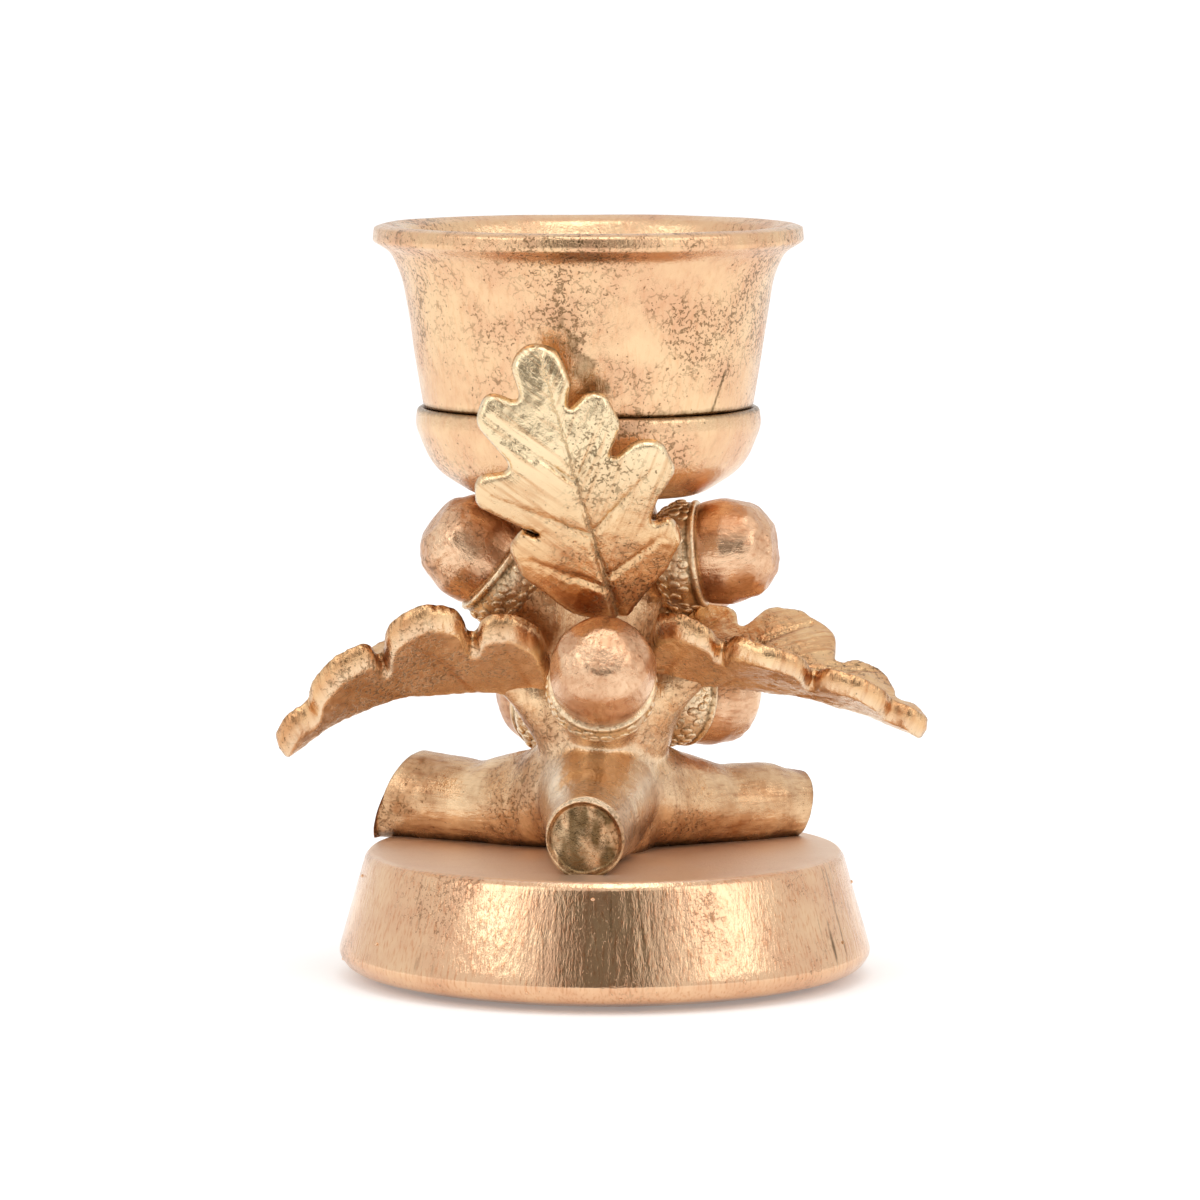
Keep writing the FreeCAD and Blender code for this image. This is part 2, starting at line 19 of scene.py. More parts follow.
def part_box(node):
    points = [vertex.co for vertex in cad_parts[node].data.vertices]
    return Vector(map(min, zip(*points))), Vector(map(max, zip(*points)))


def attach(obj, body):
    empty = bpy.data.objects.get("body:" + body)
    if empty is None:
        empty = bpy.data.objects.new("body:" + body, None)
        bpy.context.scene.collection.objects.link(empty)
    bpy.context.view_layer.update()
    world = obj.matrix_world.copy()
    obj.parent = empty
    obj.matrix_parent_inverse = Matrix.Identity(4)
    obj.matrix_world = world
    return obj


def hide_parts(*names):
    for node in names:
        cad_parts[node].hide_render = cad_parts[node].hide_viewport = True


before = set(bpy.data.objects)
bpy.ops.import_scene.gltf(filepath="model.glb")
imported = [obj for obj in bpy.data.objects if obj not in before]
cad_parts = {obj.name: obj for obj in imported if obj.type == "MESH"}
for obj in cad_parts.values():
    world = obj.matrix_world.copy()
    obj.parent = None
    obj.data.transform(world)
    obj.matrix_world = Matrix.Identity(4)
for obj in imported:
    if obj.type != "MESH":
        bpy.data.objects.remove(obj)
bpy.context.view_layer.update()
MM = 0.001
print("nodes in the frame:", len(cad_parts))

# %% [markdown]
# ## Sizes
#
# The main sizes are read from the frame. The rest are typed here, mostly in millimetres, and don't
# follow the part when it changes.

# %% Sizes read from the frame
base_low, base_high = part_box("base_plinth")
bowl_low, bowl_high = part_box("cup_bowl")
cup_low, cup_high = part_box("candle_cup")
crown_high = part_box("branch_crown")[1]
BASE_RADIUS = (base_high[0] - base_low[0]) / 2
BASE_TOP = base_high[2]
BOWL_RADIUS = (bowl_high[0] - bowl_low[0]) / 2
BOWL_FOOT = bowl_low[2]
CUP_AXIS = (cup_low[0] + cup_high[0]) / 2
LIP_RADIUS = (cup_high[0] - cup_low[0]) / 2
TOP = cup_high[2]
CROWN_TOP = crown_high[2]
CROWN_AXIS = -0.6 * MM
print("base radius %.1f mm, height %.1f mm" % (BASE_RADIUS / MM, TOP / MM))

# %% [markdown]
# ## Helpers
#
# A turned piece is an outline swept round an axis. Its corners are rounded first, because a cast and
# gilded piece has no sharp edge, and then each ring is pushed in and out a little, because a mould
# made by hand is never quite round.

# %% Outlines with rounded corners
def rounded(corners, spacing, closed=False):
    """Points along an outline of (x, y, corner radius), with an arc at each corner."""
    count = len(corners)
    path = []
    for index, (x, y, radius) in enumerate(corners):
        here = np.array((x, y), float)
        if not closed and index in (0, count - 1) or radius == 0:
            path.append(here)
            continue
        before = np.array(corners[index - 1][:2], float) - here
        after = np.array(corners[(index + 1) % count][:2], float) - here
        reach_before, reach_after = np.linalg.norm(before), np.linalg.norm(after)
        before, after = before / reach_before, after / reach_after
        half = math.acos(np.clip(before @ after, -1, 1)) / 2
        reach = min(radius / math.tan(half), 0.49 * reach_before, 0.49 * reach_after)
        start, finish = here + before * reach, here + after * reach
        steps = max(2, int(reach * 2 / spacing))
        for step in range(steps + 1):
            t = step / steps
            path.append(start * (1 - t) ** 2 + here * 2 * t * (1 - t) + finish * t ** 2)
    return evenly(path, spacing, closed)


def evenly(path, spacing, closed=False):
    """The same outline with points at about the same distance from one another."""
    path = np.array(path + [path[0]] if closed else path)
    length = np.concatenate([[0], np.cumsum(np.linalg.norm(np.diff(path, axis=0), axis=1))])
    keep = np.concatenate([[True], np.diff(length) > 1e-9])
    path, length = path[keep], length[keep]
    places = np.linspace(0, length[-1], max(4, int(length[-1] / spacing)) + 1)
    result = np.stack([np.interp(places, length, path[:, k]) for k in range(path.shape[1])], axis=1)
    return result[:-1] if closed else result


def ripple(points, size, seed):
    """Smooth noise from -1 to 1 at each point, with waves of about that size."""
    shift = Vector((seed * 7.3, seed * 3.1, seed * 5.7))
    return np.array([noise.noise(Vector(point) / size + shift) for point in points])


# %% Turning an outline into a mesh
def add_mesh(name, vertices, faces, hollows=None, grain=None):
    """A smooth shaded object. It keeps its hollows for the toner and for painted light and shade, and the run
    of its brush strokes.
    """
    mesh = bpy.data.meshes.new(name)
    mesh.from_pydata([tuple(v) for v in vertices], [], faces)
    mesh.validate()
    work = bmesh.new()
    work.from_mesh(mesh)
    bmesh.ops.recalc_face_normals(work, faces=work.faces)
    work.to_mesh(mesh)
    work.free()
    mesh.shade_smooth()
    if hollows is not None:
        layer = mesh.attributes.new("hollow", "FLOAT", "POINT")
        layer.data.foreach_set("value", np.asarray(hollows, np.float32))
    if grain is not None:
        layer = mesh.attributes.new("grain", "FLOAT_VECTOR", "POINT")
        layer.data.foreach_set("vector", np.asarray(grain, np.float32).ravel())
    item = bpy.data.objects.new(name, mesh)
    bpy.context.scene.collection.objects.link(item)
    return item


def sparse(outline, widest):
    """The outline with fewer points on its straight runs, where a ring now and then is enough."""
    kept = [outline[0]]
    for here, after in zip(outline[1:], outline[2:]):
        way_in, way_out = here - kept[-1], after - here
        bends = abs(way_in[0] * way_out[1] - way_in[1] * way_out[0])
        bends /= np.linalg.norm(way_in) * np.linalg.norm(way_out)
        if bends > 0.05 or np.linalg.norm(after - kept[-1]) > widest:
            kept.append(here)
    return np.array(kept + [outline[-1]])


def turned(name, outline, segments, place, push=None, dark=None, widest=1.2 * MM):
    """A closed piece swept round Z and moved by a matrix. The outline runs from axis to axis."""
    outline = sparse(outline, widest)
    angles = np.linspace(0, 2 * math.pi, segments, endpoint=False)
    rings = outline[1:-1]
    radius, height = np.repeat(rings[:, 0], segments), np.repeat(rings[:, 1], segments)
    turn = np.tile(angles, len(rings))
    if push is not None:
        across, along = push(radius, height, turn)
        radius, height = radius + across, height + along
    points = np.stack([radius * np.cos(turn), radius * np.sin(turn), height], axis=1)
    hollows = dark(radius, height, turn) if dark is not None else np.zeros(len(points))
    points = np.vstack([points, [0, 0, outline[0, 1]], [0, 0, outline[-1, 1]]])
    hollows = np.concatenate([hollows, [0, 0]])
    faces = []
    for ring in range(len(rings) - 1):
        for step in range(segments):
            a, b = ring * segments + step, ring * segments + (step + 1) % segments
            faces.append((a, b, b + segments, a + segments))
    last = (len(rings) - 1) * segments
    for step in range(segments):
        following = (step + 1) % segments
        faces.append((len(points) - 2, following, step))
        faces.append((len(points) - 1, last + step, last + following))
    world = [place @ Vector(point) for point in points]
    return add_mesh(name, world, faces, hollows, points)


def facing(x, y, z, bearing, rise):
    """A place whose Z axis points along a bearing and a rise from level, in degrees."""
    turn = Euler((0, math.radians(90 - rise), math.radians(bearing)))
    return Matrix.Translation((x, y, z)) @ turn.to_matrix().to_4x4()


def bump(distance, width):
    """A soft ridge: 1 at distance 0, falling to nothing over the width."""
    return np.exp(-(distance / width) ** 2)


# %% [markdown]
# ## Gilding
#
# The finish is metal leaf laid over cast resin and rubbed back: peach gold on what stands proud,
# rose copper where the leaf is thin, brown toner left in the hollows. So one recipe serves every
# piece, with a metal that varies in colour and in roughness by noise, and the toner follows an
# attribute that each piece carries. The same attribute also carries painted shade and a painted
# reflection as toner, and below zero a paler gold: partly rubbed leaf, partly painted light.

# %% One recipe for the gilt
def rgb(code):
    """A screen colour such as #D8A878 as the linear light a shader reads."""
    levels = [int(code[i:i + 2], 16) / 255 for i in (1, 3, 5)]
    linear = [v / 12.92 if v <= 0.04045 else ((v + 0.055) / 1.055) ** 2.4 for v in levels]
    return (*linear, 1.0)


def node(tree, kind, **values):
    """Adds a node. Names of inputs are set as values, a linked socket is linked."""
    item = tree.nodes.new(kind)
    for key, value in values.items():
        name = key.replace("_", " ")
        if name in item.inputs:
            if isinstance(value, bpy.types.NodeSocket):
                tree.links.new(value, item.inputs[name])
            else:
                item.inputs[name].default_value = value
        else:
            setattr(item, key, value)
    return item


def mixed(tree, amount, first, second, mode="MIX"):
    """A colour between two others."""
    item = tree.nodes.new("ShaderNodeMix")
    item.data_type = "RGBA"
    item.blend_type = mode
    for socket, value in ((item.inputs[0], amount), (item.inputs[6], first), (item.inputs[7], second)):
        if isinstance(value, bpy.types.NodeSocket):
            tree.links.new(value, socket)
        else:
            socket.default_value = value
    return item.outputs[2]


def ramp(tree, source, low, high, out_low=0.0, out_high=1.0):
    """A number carried from one range to another and held at its ends."""
    item = node(tree, "ShaderNodeMapRange", From_Min=low, From_Max=high, To_Min=out_low, To_Max=out_high)
    tree.links.new(source, item.inputs["Value"])
    return item.outputs["Result"]


def speckle(tree, place, size, detail=3.0, roughness=0.5, stretch=(1, 1, 1)):
    """Noise whose patches are about that many metres across."""
    moved = node(tree, "ShaderNodeMapping", Vector=place, Scale=Vector(stretch) / size)
    return node(tree, "ShaderNodeTexNoise", Vector=moved.outputs[0], Scale=1.0, Detail=detail,
                Roughness=roughness).outputs["Fac"]


def summed(tree, first, share, second):
    """first times share, plus second."""
    item = node(tree, "ShaderNodeMath", operation="MULTIPLY_ADD")
    for socket, value in zip(item.inputs, (first, share, second)):
        if isinstance(value, bpy.types.NodeSocket):
            tree.links.new(value, socket)
        else:
            socket.default_value = value
    return item.outputs[0]


def hairlines(tree, place, size, width):
    """Crooked hairlines: the borders of a cell pattern that noise has bent. 1 on a line, 0 off it."""
    bend = node(tree, "ShaderNodeTexNoise", Vector=place, Scale=1.4 / size, Detail=3.0).outputs["Color"]
    shifted = node(tree, "ShaderNodeVectorMath", operation="MULTIPLY_ADD")
    tree.links.new(bend, shifted.inputs[0])
    shifted.inputs[1].default_value = (size, size, size)
    tree.links.new(place, shifted.inputs[2])
    cells = node(tree, "ShaderNodeTexVoronoi", feature="DISTANCE_TO_EDGE", Vector=shifted.outputs[0],
                 Scale=1 / size)
    return ramp(tree, cells.outputs["Distance"], 0.4 * width, width, 1.0, 0.0)


# Sizes of the patterns in the gilding, the gold of rubbed leaf and painted light on shaded places, and the
# gold painted as light on a matte top
PATCHES, GATHERINGS = 8 * MM, 16 * MM
GRAINS, SPECKS, CRACKLE = 0.9 * MM, 0.5 * MM, 1.2 * MM
PALE_BLEND, MATTE_BLEND = 18 * MM, 0.4 * MM
RUBBED_AND_LIT_GOLD, LIT_TOP_GOLD = "#FBE6C6", "#F0D8C2"


def gilt(name, proud, thin, toner, rough=(0.16, 0.3), worn=0.6, wear_from=0.54, relief=0.1 * MM,
         hammered=1.0, fineness=0.6 * MM, strokes=0.08, streaks=0.5, pale=None, painted_light_from=0.0,
         matte_and_lit_above=None):
    """Metal leaf over resin: proud and thin are its two golds, toner is the brown in the hollows.

    Strokes of the brush run along the grain. Hairlines and specks of toner gather in patches, and a
    higher wear_from leaves fewer of those. A pale gold can take over above a height, as painted light
    on the upper parts. A flat top can be left matte, and is then painted a paler gold as painted light
    on the top. Where the hollow attribute is below zero, a paler gold is painted on, partly rubbed leaf
    and partly painted light on shaded places.
    """
    material = bpy.data.materials.new(name)
    material.use_nodes = True
    tree = material.node_tree
    shader = tree.nodes["Principled BSDF"]
    place = node(tree, "ShaderNodeTexCoord").outputs["Object"]
    height = node(tree, "ShaderNodeSeparateXYZ", Vector=place).outputs["Z"]
    run = node(tree, "ShaderNodeAttribute", attribute_name="grain").outputs["Vector"]
    hollow = node(tree, "ShaderNodeAttribute", attribute_name="hollow").outputs["Fac"]
    patches = speckle(tree, place, PATCHES, 4.0, 0.65)
    gather = speckle(tree, place, GATHERINGS, 4.0, 0.6)
    brush = speckle(tree, run, fineness, 3.0, 0.6, (1, 1, strokes))
    fine = speckle(tree, place, GRAINS, 4.0, 0.7)
    specks = speckle(tree, place, SPECKS, 2.0, 0.5)
    lines = hairlines(tree, place, CRACKLE, 0.11)

    colour = mixed(tree, ramp(tree, patches, 0.34, 0.66), rgb(proud), rgb(thin))
    # Above a height the pale gold takes over: painted light on the upper parts.
    if pale:
        colour = mixed(tree, ramp(tree, height, painted_light_from, painted_light_from + PALE_BLEND), colour, rgb(pale))
    colour = mixed(tree, ramp(tree, brush, 0.5, 0.72, 0.0, streaks), colour, rgb(thin), "MULTIPLY")
    dusty = ramp(tree, gather, wear_from - 0.08, wear_from + 0.08)
    spotted = ramp(tree, summed(tree, dusty, 0.14, specks), 0.73, 0.76)
    broken = ramp(tree, fine, 0.48, 0.54)
    lined = summed(tree, summed(tree, lines, broken, 0.0), dusty, 0.0)
    marks = node(tree, "ShaderNodeMath", operation="MAXIMUM")
    tree.links.new(spotted, marks.inputs[0])
    tree.links.new(lined, marks.inputs[1])
    marks = marks.outputs[0]
    stain = ramp(tree, summed(tree, fine, 0.9, hollow), 0.66, 1.35, 0.0, 0.85)
    # Below zero the hollow attribute paints a paler gold with fewer marks: partly rubbed leaf, partly painted
    # light on shaded places.
    rubbed_and_lit = ramp(tree, hollow, 0.0, -0.5)
    colour = mixed(tree, rubbed_and_lit, colour, rgb(RUBBED_AND_LIT_GOLD))
    kept = summed(tree, marks, ramp(tree, rubbed_and_lit, 0, 1, worn, 0.3 * worn), 0.0)
    colour = mixed(tree, kept, colour, rgb(toner))
    colour = mixed(tree, stain, colour, rgb(toner))

    sheen = ramp(tree, patches, 0.38, 0.62, *rough)
    if matte_and_lit_above is not None:
        flat_top = ramp(tree, height, matte_and_lit_above - MATTE_BLEND, matte_and_lit_above)
        # The flat top is painted a paler gold: painted light on the top face.
        colour = mixed(tree, ramp(tree, flat_top, 0, 1, 0.0, 0.75), colour, rgb(LIT_TOP_GOLD))
        sheen = summed(tree, flat_top, 0.38, sheen)
    tree.links.new(colour, shader.inputs["Base Color"])
    tree.links.new(sheen, shader.inputs["Roughness"])
    shader.inputs["Metallic"].default_value = 1.0
    depth = summed(tree, marks, -0.35, summed(tree, fine, hammered, summed(tree, brush, 0.8, 0.0)))
    lift = node(tree, "ShaderNodeBump", Strength=1.0, Distance=relief)
    tree.links.new(depth, lift.inputs["Height"])
    tree.links.new(lift.outputs[0], shader.inputs["Normal"])
    return material


GOLD = gilt("burnished metal leaf", "#EBC79C", "#DEAE88", "#5E4826", worn=0.7, wear_from=0.52,
            relief=0.08 * MM, strokes=0.2, streaks=0.25)
# The plinth's flat top is matte, and painted paler there as painted light.
BASE_GOLD = gilt("scratched metal leaf", "#EBC59E", "#DDAE8A", "#664C2C", rough=(0.07, 0.16), worn=0.5,
                 wear_from=0.6, relief=0.08 * MM, hammered=0.15, fineness=0.4 * MM, strokes=0.012,
                 streaks=0.6, matte_and_lit_above=BASE_TOP)
BRANCH_GOLD = gilt("metal leaf over bark", "#ECC99F", "#B07C52", "#5E4626", rough=(0.16, 0.34),
                   worn=0.6, wear_from=0.53, relief=0.13 * MM, strokes=0.15, streaks=0.4)
# The leaves turn a paler gold above 56 mm: painted light on their upper parts.
LEAF_GOLD = gilt("metal leaf on an oak leaf", "#E9C292", "#CE9A6C", "#5E4828", rough=(0.14, 0.32),
                 worn=0.75, wear_from=0.54, relief=0.12 * MM, pale="#F0D8B0", painted_light_from=56 * MM)
ACORN_GOLD = gilt("rose metal leaf on an acorn", "#ECC6A2", "#C4906A", "#64492E", rough=(0.2, 0.36),
                  worn=0.6, wear_from=0.57, strokes=0.2)
CAP_GOLD = gilt("toned metal leaf on an acorn cap", "#EFD4AC", "#DCB890", "#5E4A2C", rough=(0.24, 0.4),
                wear_from=0.5, relief=0.14 * MM, strokes=0.5)
print("materials:", len(bpy.data.materials))


def dress(item, material, slot, *nodes):
    """Gives a finished piece its material, parents it to the root and hides the nodes of the part that it
    stands for.
    """
    item.data.materials.clear()
    item.data.materials.append(material)
    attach(item, "root")
    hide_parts(*nodes)
    print("%-22s %7d faces" % (item.name, len(item.data.polygons)))


# %% [markdown]
# ## Base
#
# The plinth imitates a slice of a log: a flat top and a side that spreads downwards and carries the
# marks of bark as upright scratches. It was cast in one pour, so its edges are soft.

# %% The plinth
BASE_STEPS = 900
SCRATCH_ROUND = 34  # millimetres from the axis at which the scratches' spacing holds


def on_side(turn, height, squeeze):
    """Places round the plinth's side where noise is read, squeezed in height to draw it out upright."""
    return np.stack([np.cos(turn) * SCRATCH_ROUND, np.sin(turn) * SCRATCH_ROUND, height / MM * squeeze],
                    axis=1)


def bark(radius, height, turn):
    """Upright scratches, fading on the top and towards the widest circle, and a slow unevenness."""
    side = np.clip((height - 3 * MM) / (2 * MM), 0, 1)
    side = side * np.clip((radius - 0.86 * BASE_RADIUS) / MM, 0, 1)
    spots = on_side(turn, height, 0.09)
    fine = ripple(spots, 0.75, 1) + 0.6 * ripple(spots, 0.4, 2)
    patchy = np.clip(0.35 + 1.2 * ripple(spots * (1, 1, 3), 9, 3), 0, 1)
    wobble = ripple(np.stack([np.cos(turn), np.sin(turn), height / MM * 0.05], axis=1), 0.9, 4)
    return side * (0.05 * MM * fine * patchy) + 0.25 * MM * wobble, np.zeros_like(height)


def bark_hollows(radius, height, turn):
    """Toner left in the deeper scratches of the side."""
    side = np.clip((height - 3 * MM) / (2 * MM), 0, 1) * np.clip((BASE_TOP - height) / MM, 0, 1)
    spots = on_side(turn, height, 0.07)
    scratch = np.clip(-ripple(spots, 0.6, 1) - 0.15, 0, 1) + np.clip(-ripple(spots, 0.35, 7) - 0.3, 0, 1)
    patchy = np.clip(0.45 + 1.6 * ripple(spots * (1, 1, 3), 8, 3), 0.1, 1)
    return 1.3 * side * scratch * patchy


base_outline = rounded([
    (0, 1.1 * MM, 0), (30.4 * MM, 1.1 * MM, 0), (31.2 * MM, 0.5 * MM, 0.6 * MM),
    (34.8 * MM, 1.5 * MM, 2.5 * MM), (BASE_RADIUS, 3.4 * MM, 1.6 * MM),
    (32.3 * MM, 16.3 * MM, 1.0 * MM), (31.6 * MM, BASE_TOP, 0.4 * MM), (0, BASE_TOP, 0)], 0.35 * MM)
base = turned("plinth", base_outline, BASE_STEPS, Matrix(), bark, bark_hollows)

# %% [markdown]
# ## Cup and bowl
#
# The bowl is the acorn's own cup. The candle cup stands on it with a fine seam between them; its wall
# widens upwards and turns out into a thick lip.

# %% The bowl
BOWL_STEPS, CUP_STEPS = 420, 390
SOCKET_RADIUS, SOCKET_FLOOR = 19.7 * MM, 72.2 * MM


def soft_round(amount, size, seed):
    """A push that makes a turned piece a little uneven."""
    def push(radius, height, turn):
        spots = np.stack([radius * np.cos(turn), radius * np.sin(turn), height], axis=1)
        sideways = amount * ripple(spots, size, seed) * np.clip(radius / (4 * MM), 0, 1)
        return sideways, 0.4 * amount * ripple(spots, size, seed + 9)
    return push


bowl_outline = rounded([
    (0, BOWL_FOOT + 0.2 * MM, 0), (10 * MM, BOWL_FOOT + 0.2 * MM, 0),
    (15.5 * MM, BOWL_FOOT + 0.6 * MM, 5 * MM), (21 * MM, 69 * MM, 12 * MM),
    (BOWL_RADIUS + 0.1 * MM, 74.5 * MM, 9 * MM), (22.95 * MM, 76.8 * MM, 0.7 * MM),
    (22.35 * MM, 77.1 * MM, 0.25 * MM), (21.8 * MM, 76.8 * MM, 0.2 * MM),
    (SOCKET_RADIUS, 76.8 * MM, 0.2 * MM), (SOCKET_RADIUS, SOCKET_FLOOR, 0.2 * MM),
    (0, SOCKET_FLOOR, 0)], 0.35 * MM)
cup_place = Matrix.Translation((CUP_AXIS, 0, 0))
bowl = turned("acorn_bowl", bowl_outline, BOWL_STEPS, cup_place, soft_round(0.18 * MM, 8 * MM, 5),
              lambda radius, height, turn: 0.8 * bump(height - 77 * MM, 0.5 * MM))
dress(bowl, GOLD, "gilded_cup", "cup_bowl")

# %% The candle cup
def cup_toner_and_painted_reflection(radius, height, turn):
    """Toner in the seam, a short crack that climbs from it, and a painted reflection of the front leaf beside
    its tip.
    """
    climb = np.clip((height - 77 * MM) / (6 * MM), 0, 1)
    from_crack = radius * (turn - np.radians(317 + 5 * climb))
    crack = bump(from_crack, 0.25 * MM) * (climb < 1) * (radius > 22 * MM)
    # A dark patch beside the front leaf's tip: a painted reflection of the leaf in the cup's wall.
    fall = (91.7 * MM - height) / (10.5 * MM)
    from_edge = radius * np.cos(turn) - (-3.9 + 6.8 * fall + 0.5 * np.sin(fall * 21)) * MM
    wide = (1.2 + 4 * fall) * MM
    leaf_reflection = np.clip(-from_edge / (0.3 * MM), 0, 1) * np.clip((from_edge + wide) / (1.5 * MM), 0, 1)
    leaf_reflection *= (fall > 0) * (fall < 1.1) * (np.sin(turn) < 0) * (radius > 22 * MM)
    return np.maximum.reduce([0.8 * bump(height - 77.2 * MM, 0.6 * MM), 1.1 * crack, 0.62 * leaf_reflection])


cup_outline = rounded([
    (0, 72.6 * MM, 0), (19.3 * MM, 72.6 * MM, 0.2 * MM), (19.3 * MM, 76.9 * MM, 0.2 * MM),
    (21.9 * MM, 76.9 * MM, 0.2 * MM), (22.25 * MM, 77.35 * MM, 0.3 * MM), (24.9 * MM, 94.6 * MM, 14 * MM),
    (26.4 * MM, 97.8 * MM, 3 * MM), (28.1 * MM, 98.8 * MM, 0.4 * MM), (LIP_RADIUS, 99.3 * MM, 0.25 * MM),
    (LIP_RADIUS - 0.15 * MM, 101.1 * MM, 0.3 * MM), (27.4 * MM, TOP, 1 * MM),
    (25.4 * MM, 100.8 * MM, 1.2 * MM), (20.6 * MM, 91.3 * MM, 3 * MM), (20.5 * MM, 78.7 * MM, 0.8 * MM),
    (4.4 * MM, 78.6 * MM, 0.3 * MM), (4.2 * MM, 76.2 * MM, 0.2 * MM), (0, 76.2 * MM, 0)], 0.4 * MM)
cup = turned("candle_cup_body", cup_outline, CUP_STEPS, cup_place, soft_round(0.16 * MM, 9 * MM, 6),
             cup_toner_and_painted_reflection, 0.6 * MM)
dress(cup, GOLD, "gilded_cup", "candle_cup")

# %% [markdown]
# ## Branch
#
# The trunk and its three cut branches grow out of each other, so they are melted into one skin: plain
# turned pieces are joined on a fine grid and then smoothed, which leaves the soft saddles between
# them that a real fork has.

# %% Trunk and cut branches
def limb(stations):
    """Raw stuff for a branch: tapered pieces through stations of (x, y, z, radius) in millimetres."""
    made = []
    for index, (x, y, z, radius) in enumerate(stations):
        bpy.ops.mesh.primitive_uv_sphere_add(segments=32, ring_count=16, radius=radius * MM,
                                             location=(x * MM, y * MM, z * MM))
        made.append(bpy.context.object)
        if index:
            start, finish = Vector(stations[index - 1][:3]) * MM, Vector((x, y, z)) * MM
            way = finish - start
            bpy.ops.mesh.primitive_cone_add(vertices=48, radius1=stations[index - 1][3] * MM,
                                            radius2=radius * MM, depth=way.length)
            made.append(bpy.context.object)
            made[-1].matrix_world = (Matrix.Translation((start + finish) / 2)
                                     @ way.to_track_quat("Z", "Y").to_matrix().to_4x4())
    return made


def melted(pieces, voxel, rounds):
    """One smooth skin round several pieces."""
    bpy.context.view_layer.update()
    bpy.ops.object.select_all(action="DESELECT")
    for item in pieces:
        item.select_set(True)
    bpy.context.view_layer.objects.active = pieces[0]
    bpy.ops.object.join()
    whole = bpy.context.object
    bpy.ops.object.transform_apply(location=True, rotation=True, scale=True)
    remesh = whole.modifiers.new("skin", "REMESH")
    remesh.mode = "VOXEL"
    remesh.voxel_size = voxel
    smooth = whole.modifiers.new("soften", "SMOOTH")
    smooth.factor = 0.5
    smooth.iterations = rounds
    mesh = bpy.data.meshes.new_from_object(whole.evaluated_get(bpy.context.evaluated_depsgraph_get()))
    bpy.data.objects.remove(whole)
    return mesh


def along(bearing, stations):
    """Stations of (reach, height over the base, radius) set out from the trunk at a bearing."""
    turn = math.radians(bearing)
    base_top = BASE_TOP / MM
    return [(CROWN_AXIS / MM + reach * math.cos(turn), reach * math.sin(turn), base_top + height, radius)
            for reach, height, radius in stations]


# Each acorn: name, bearing, rise, reach to the rim of its cap and height of that rim
ACORNS = [
    ("front", 271, 31, 14.9, 41.5),
    ("back", 48, 8, 14.4, 52.7),
    ("upper_right", -10, 6, 13.95, 57.4),
    ("upper_left", 186, 38, 14.3, 55.8),
    ("lower_right", 34, -5, 14.4, 37.3),
    ("lower_left", 114, 10, 14.2, 35.6),
]
# Each cut branch: bearing, the reach of its cut, how far the cut looks up, and its stations
CUT_BRANCHES = {
    "front": (265.5, 25.4, 0, [(0, 9, 8.6), (9, 6.4, 7.4), (17, 5.2, 6.0), (28, 4.7, 5.2)]),
    "right": (30, 30.8, -12, [(0, 9, 9), (9, 6.2, 7.0), (18, 4.7, 5.7), (26, 4.6, 5.6), (31, 4.0, 4.8)]),
    "left": (150, 30.6, 21, [(0, 9, 9), (9, 5.9, 7.0), (19, 4.8, 5.9), (35, 5.5, 6.8)]),
}
# The trunk: heights and radii
TRUNK = [(22, 8.4), (28, 8.5), (34, 8.3), (52, 8.0), (61, 8.0)]
raw = limb([(-0.6, 0, height, radius) for height, radius in TRUNK])
for bearing, reach, lean, stations in CUT_BRANCHES.values():
    raw += limb(along(bearing, stations))
# Two stems carry the side leaves and grow out of the trunk in a hollow curve
raw += limb([(-3, -1, 33, 6.4), (-8.5, -2.5, 38.4, 4.2), (-13, -3.4, 40.8, 2.3)])
raw += limb([(3, -1, 34, 6.4), (8, -3.5, 39.6, 4.2), (12.5, -4.6, 41.6, 2.3)])
# A collar behind each acorn's cap
for name, bearing, rise, reach, height in ACORNS:
    turn = math.radians(bearing)
    rim = Vector((CROWN_AXIS / MM + reach * math.cos(turn), reach * math.sin(turn), height))
    way = facing(0, 0, 0, bearing, rise).to_3x3() @ Vector((0, 0, 1))
    raw += limb([(*(rim - 13 * way), 5.6), (*(rim - 5.6 * way), 5.0)])
skin = melted(raw, 0.45 * MM, 16)
points = np.array([v.co[:] for v in skin.vertices])
normals = np.array([v.normal[:] for v in skin.vertices])
relief = ripple(points * (1, 1, 0.45), 2.6 * MM, 11) + 0.4 * ripple(points, 1.1 * MM, 12)
relief += 2.8 * ripple(points, 6 * MM, 13)
points += normals * (0.12 * MM * relief)[:, None]
# The foot of the branch is darkened with toner where it meets the plinth: painted shade.
hollows = 0.8 * bump(points[:, 2] - BASE_TOP, 1.1 * MM)
# What lies under the front acorn is painted paler, as painted light on the shade there
hollows -= 0.28 * bump(points[:, 2] - BASE_TOP - 11 * MM, 5 * MM) * np.clip(-points[:, 1] / (8 * MM), 0, 1)

# %% [markdown]
# The ends are sawn off: what reaches past the plane of a cut is pushed back onto it. The front end
# is then dished, because the leaf there was rubbed away round a rim that still shines.

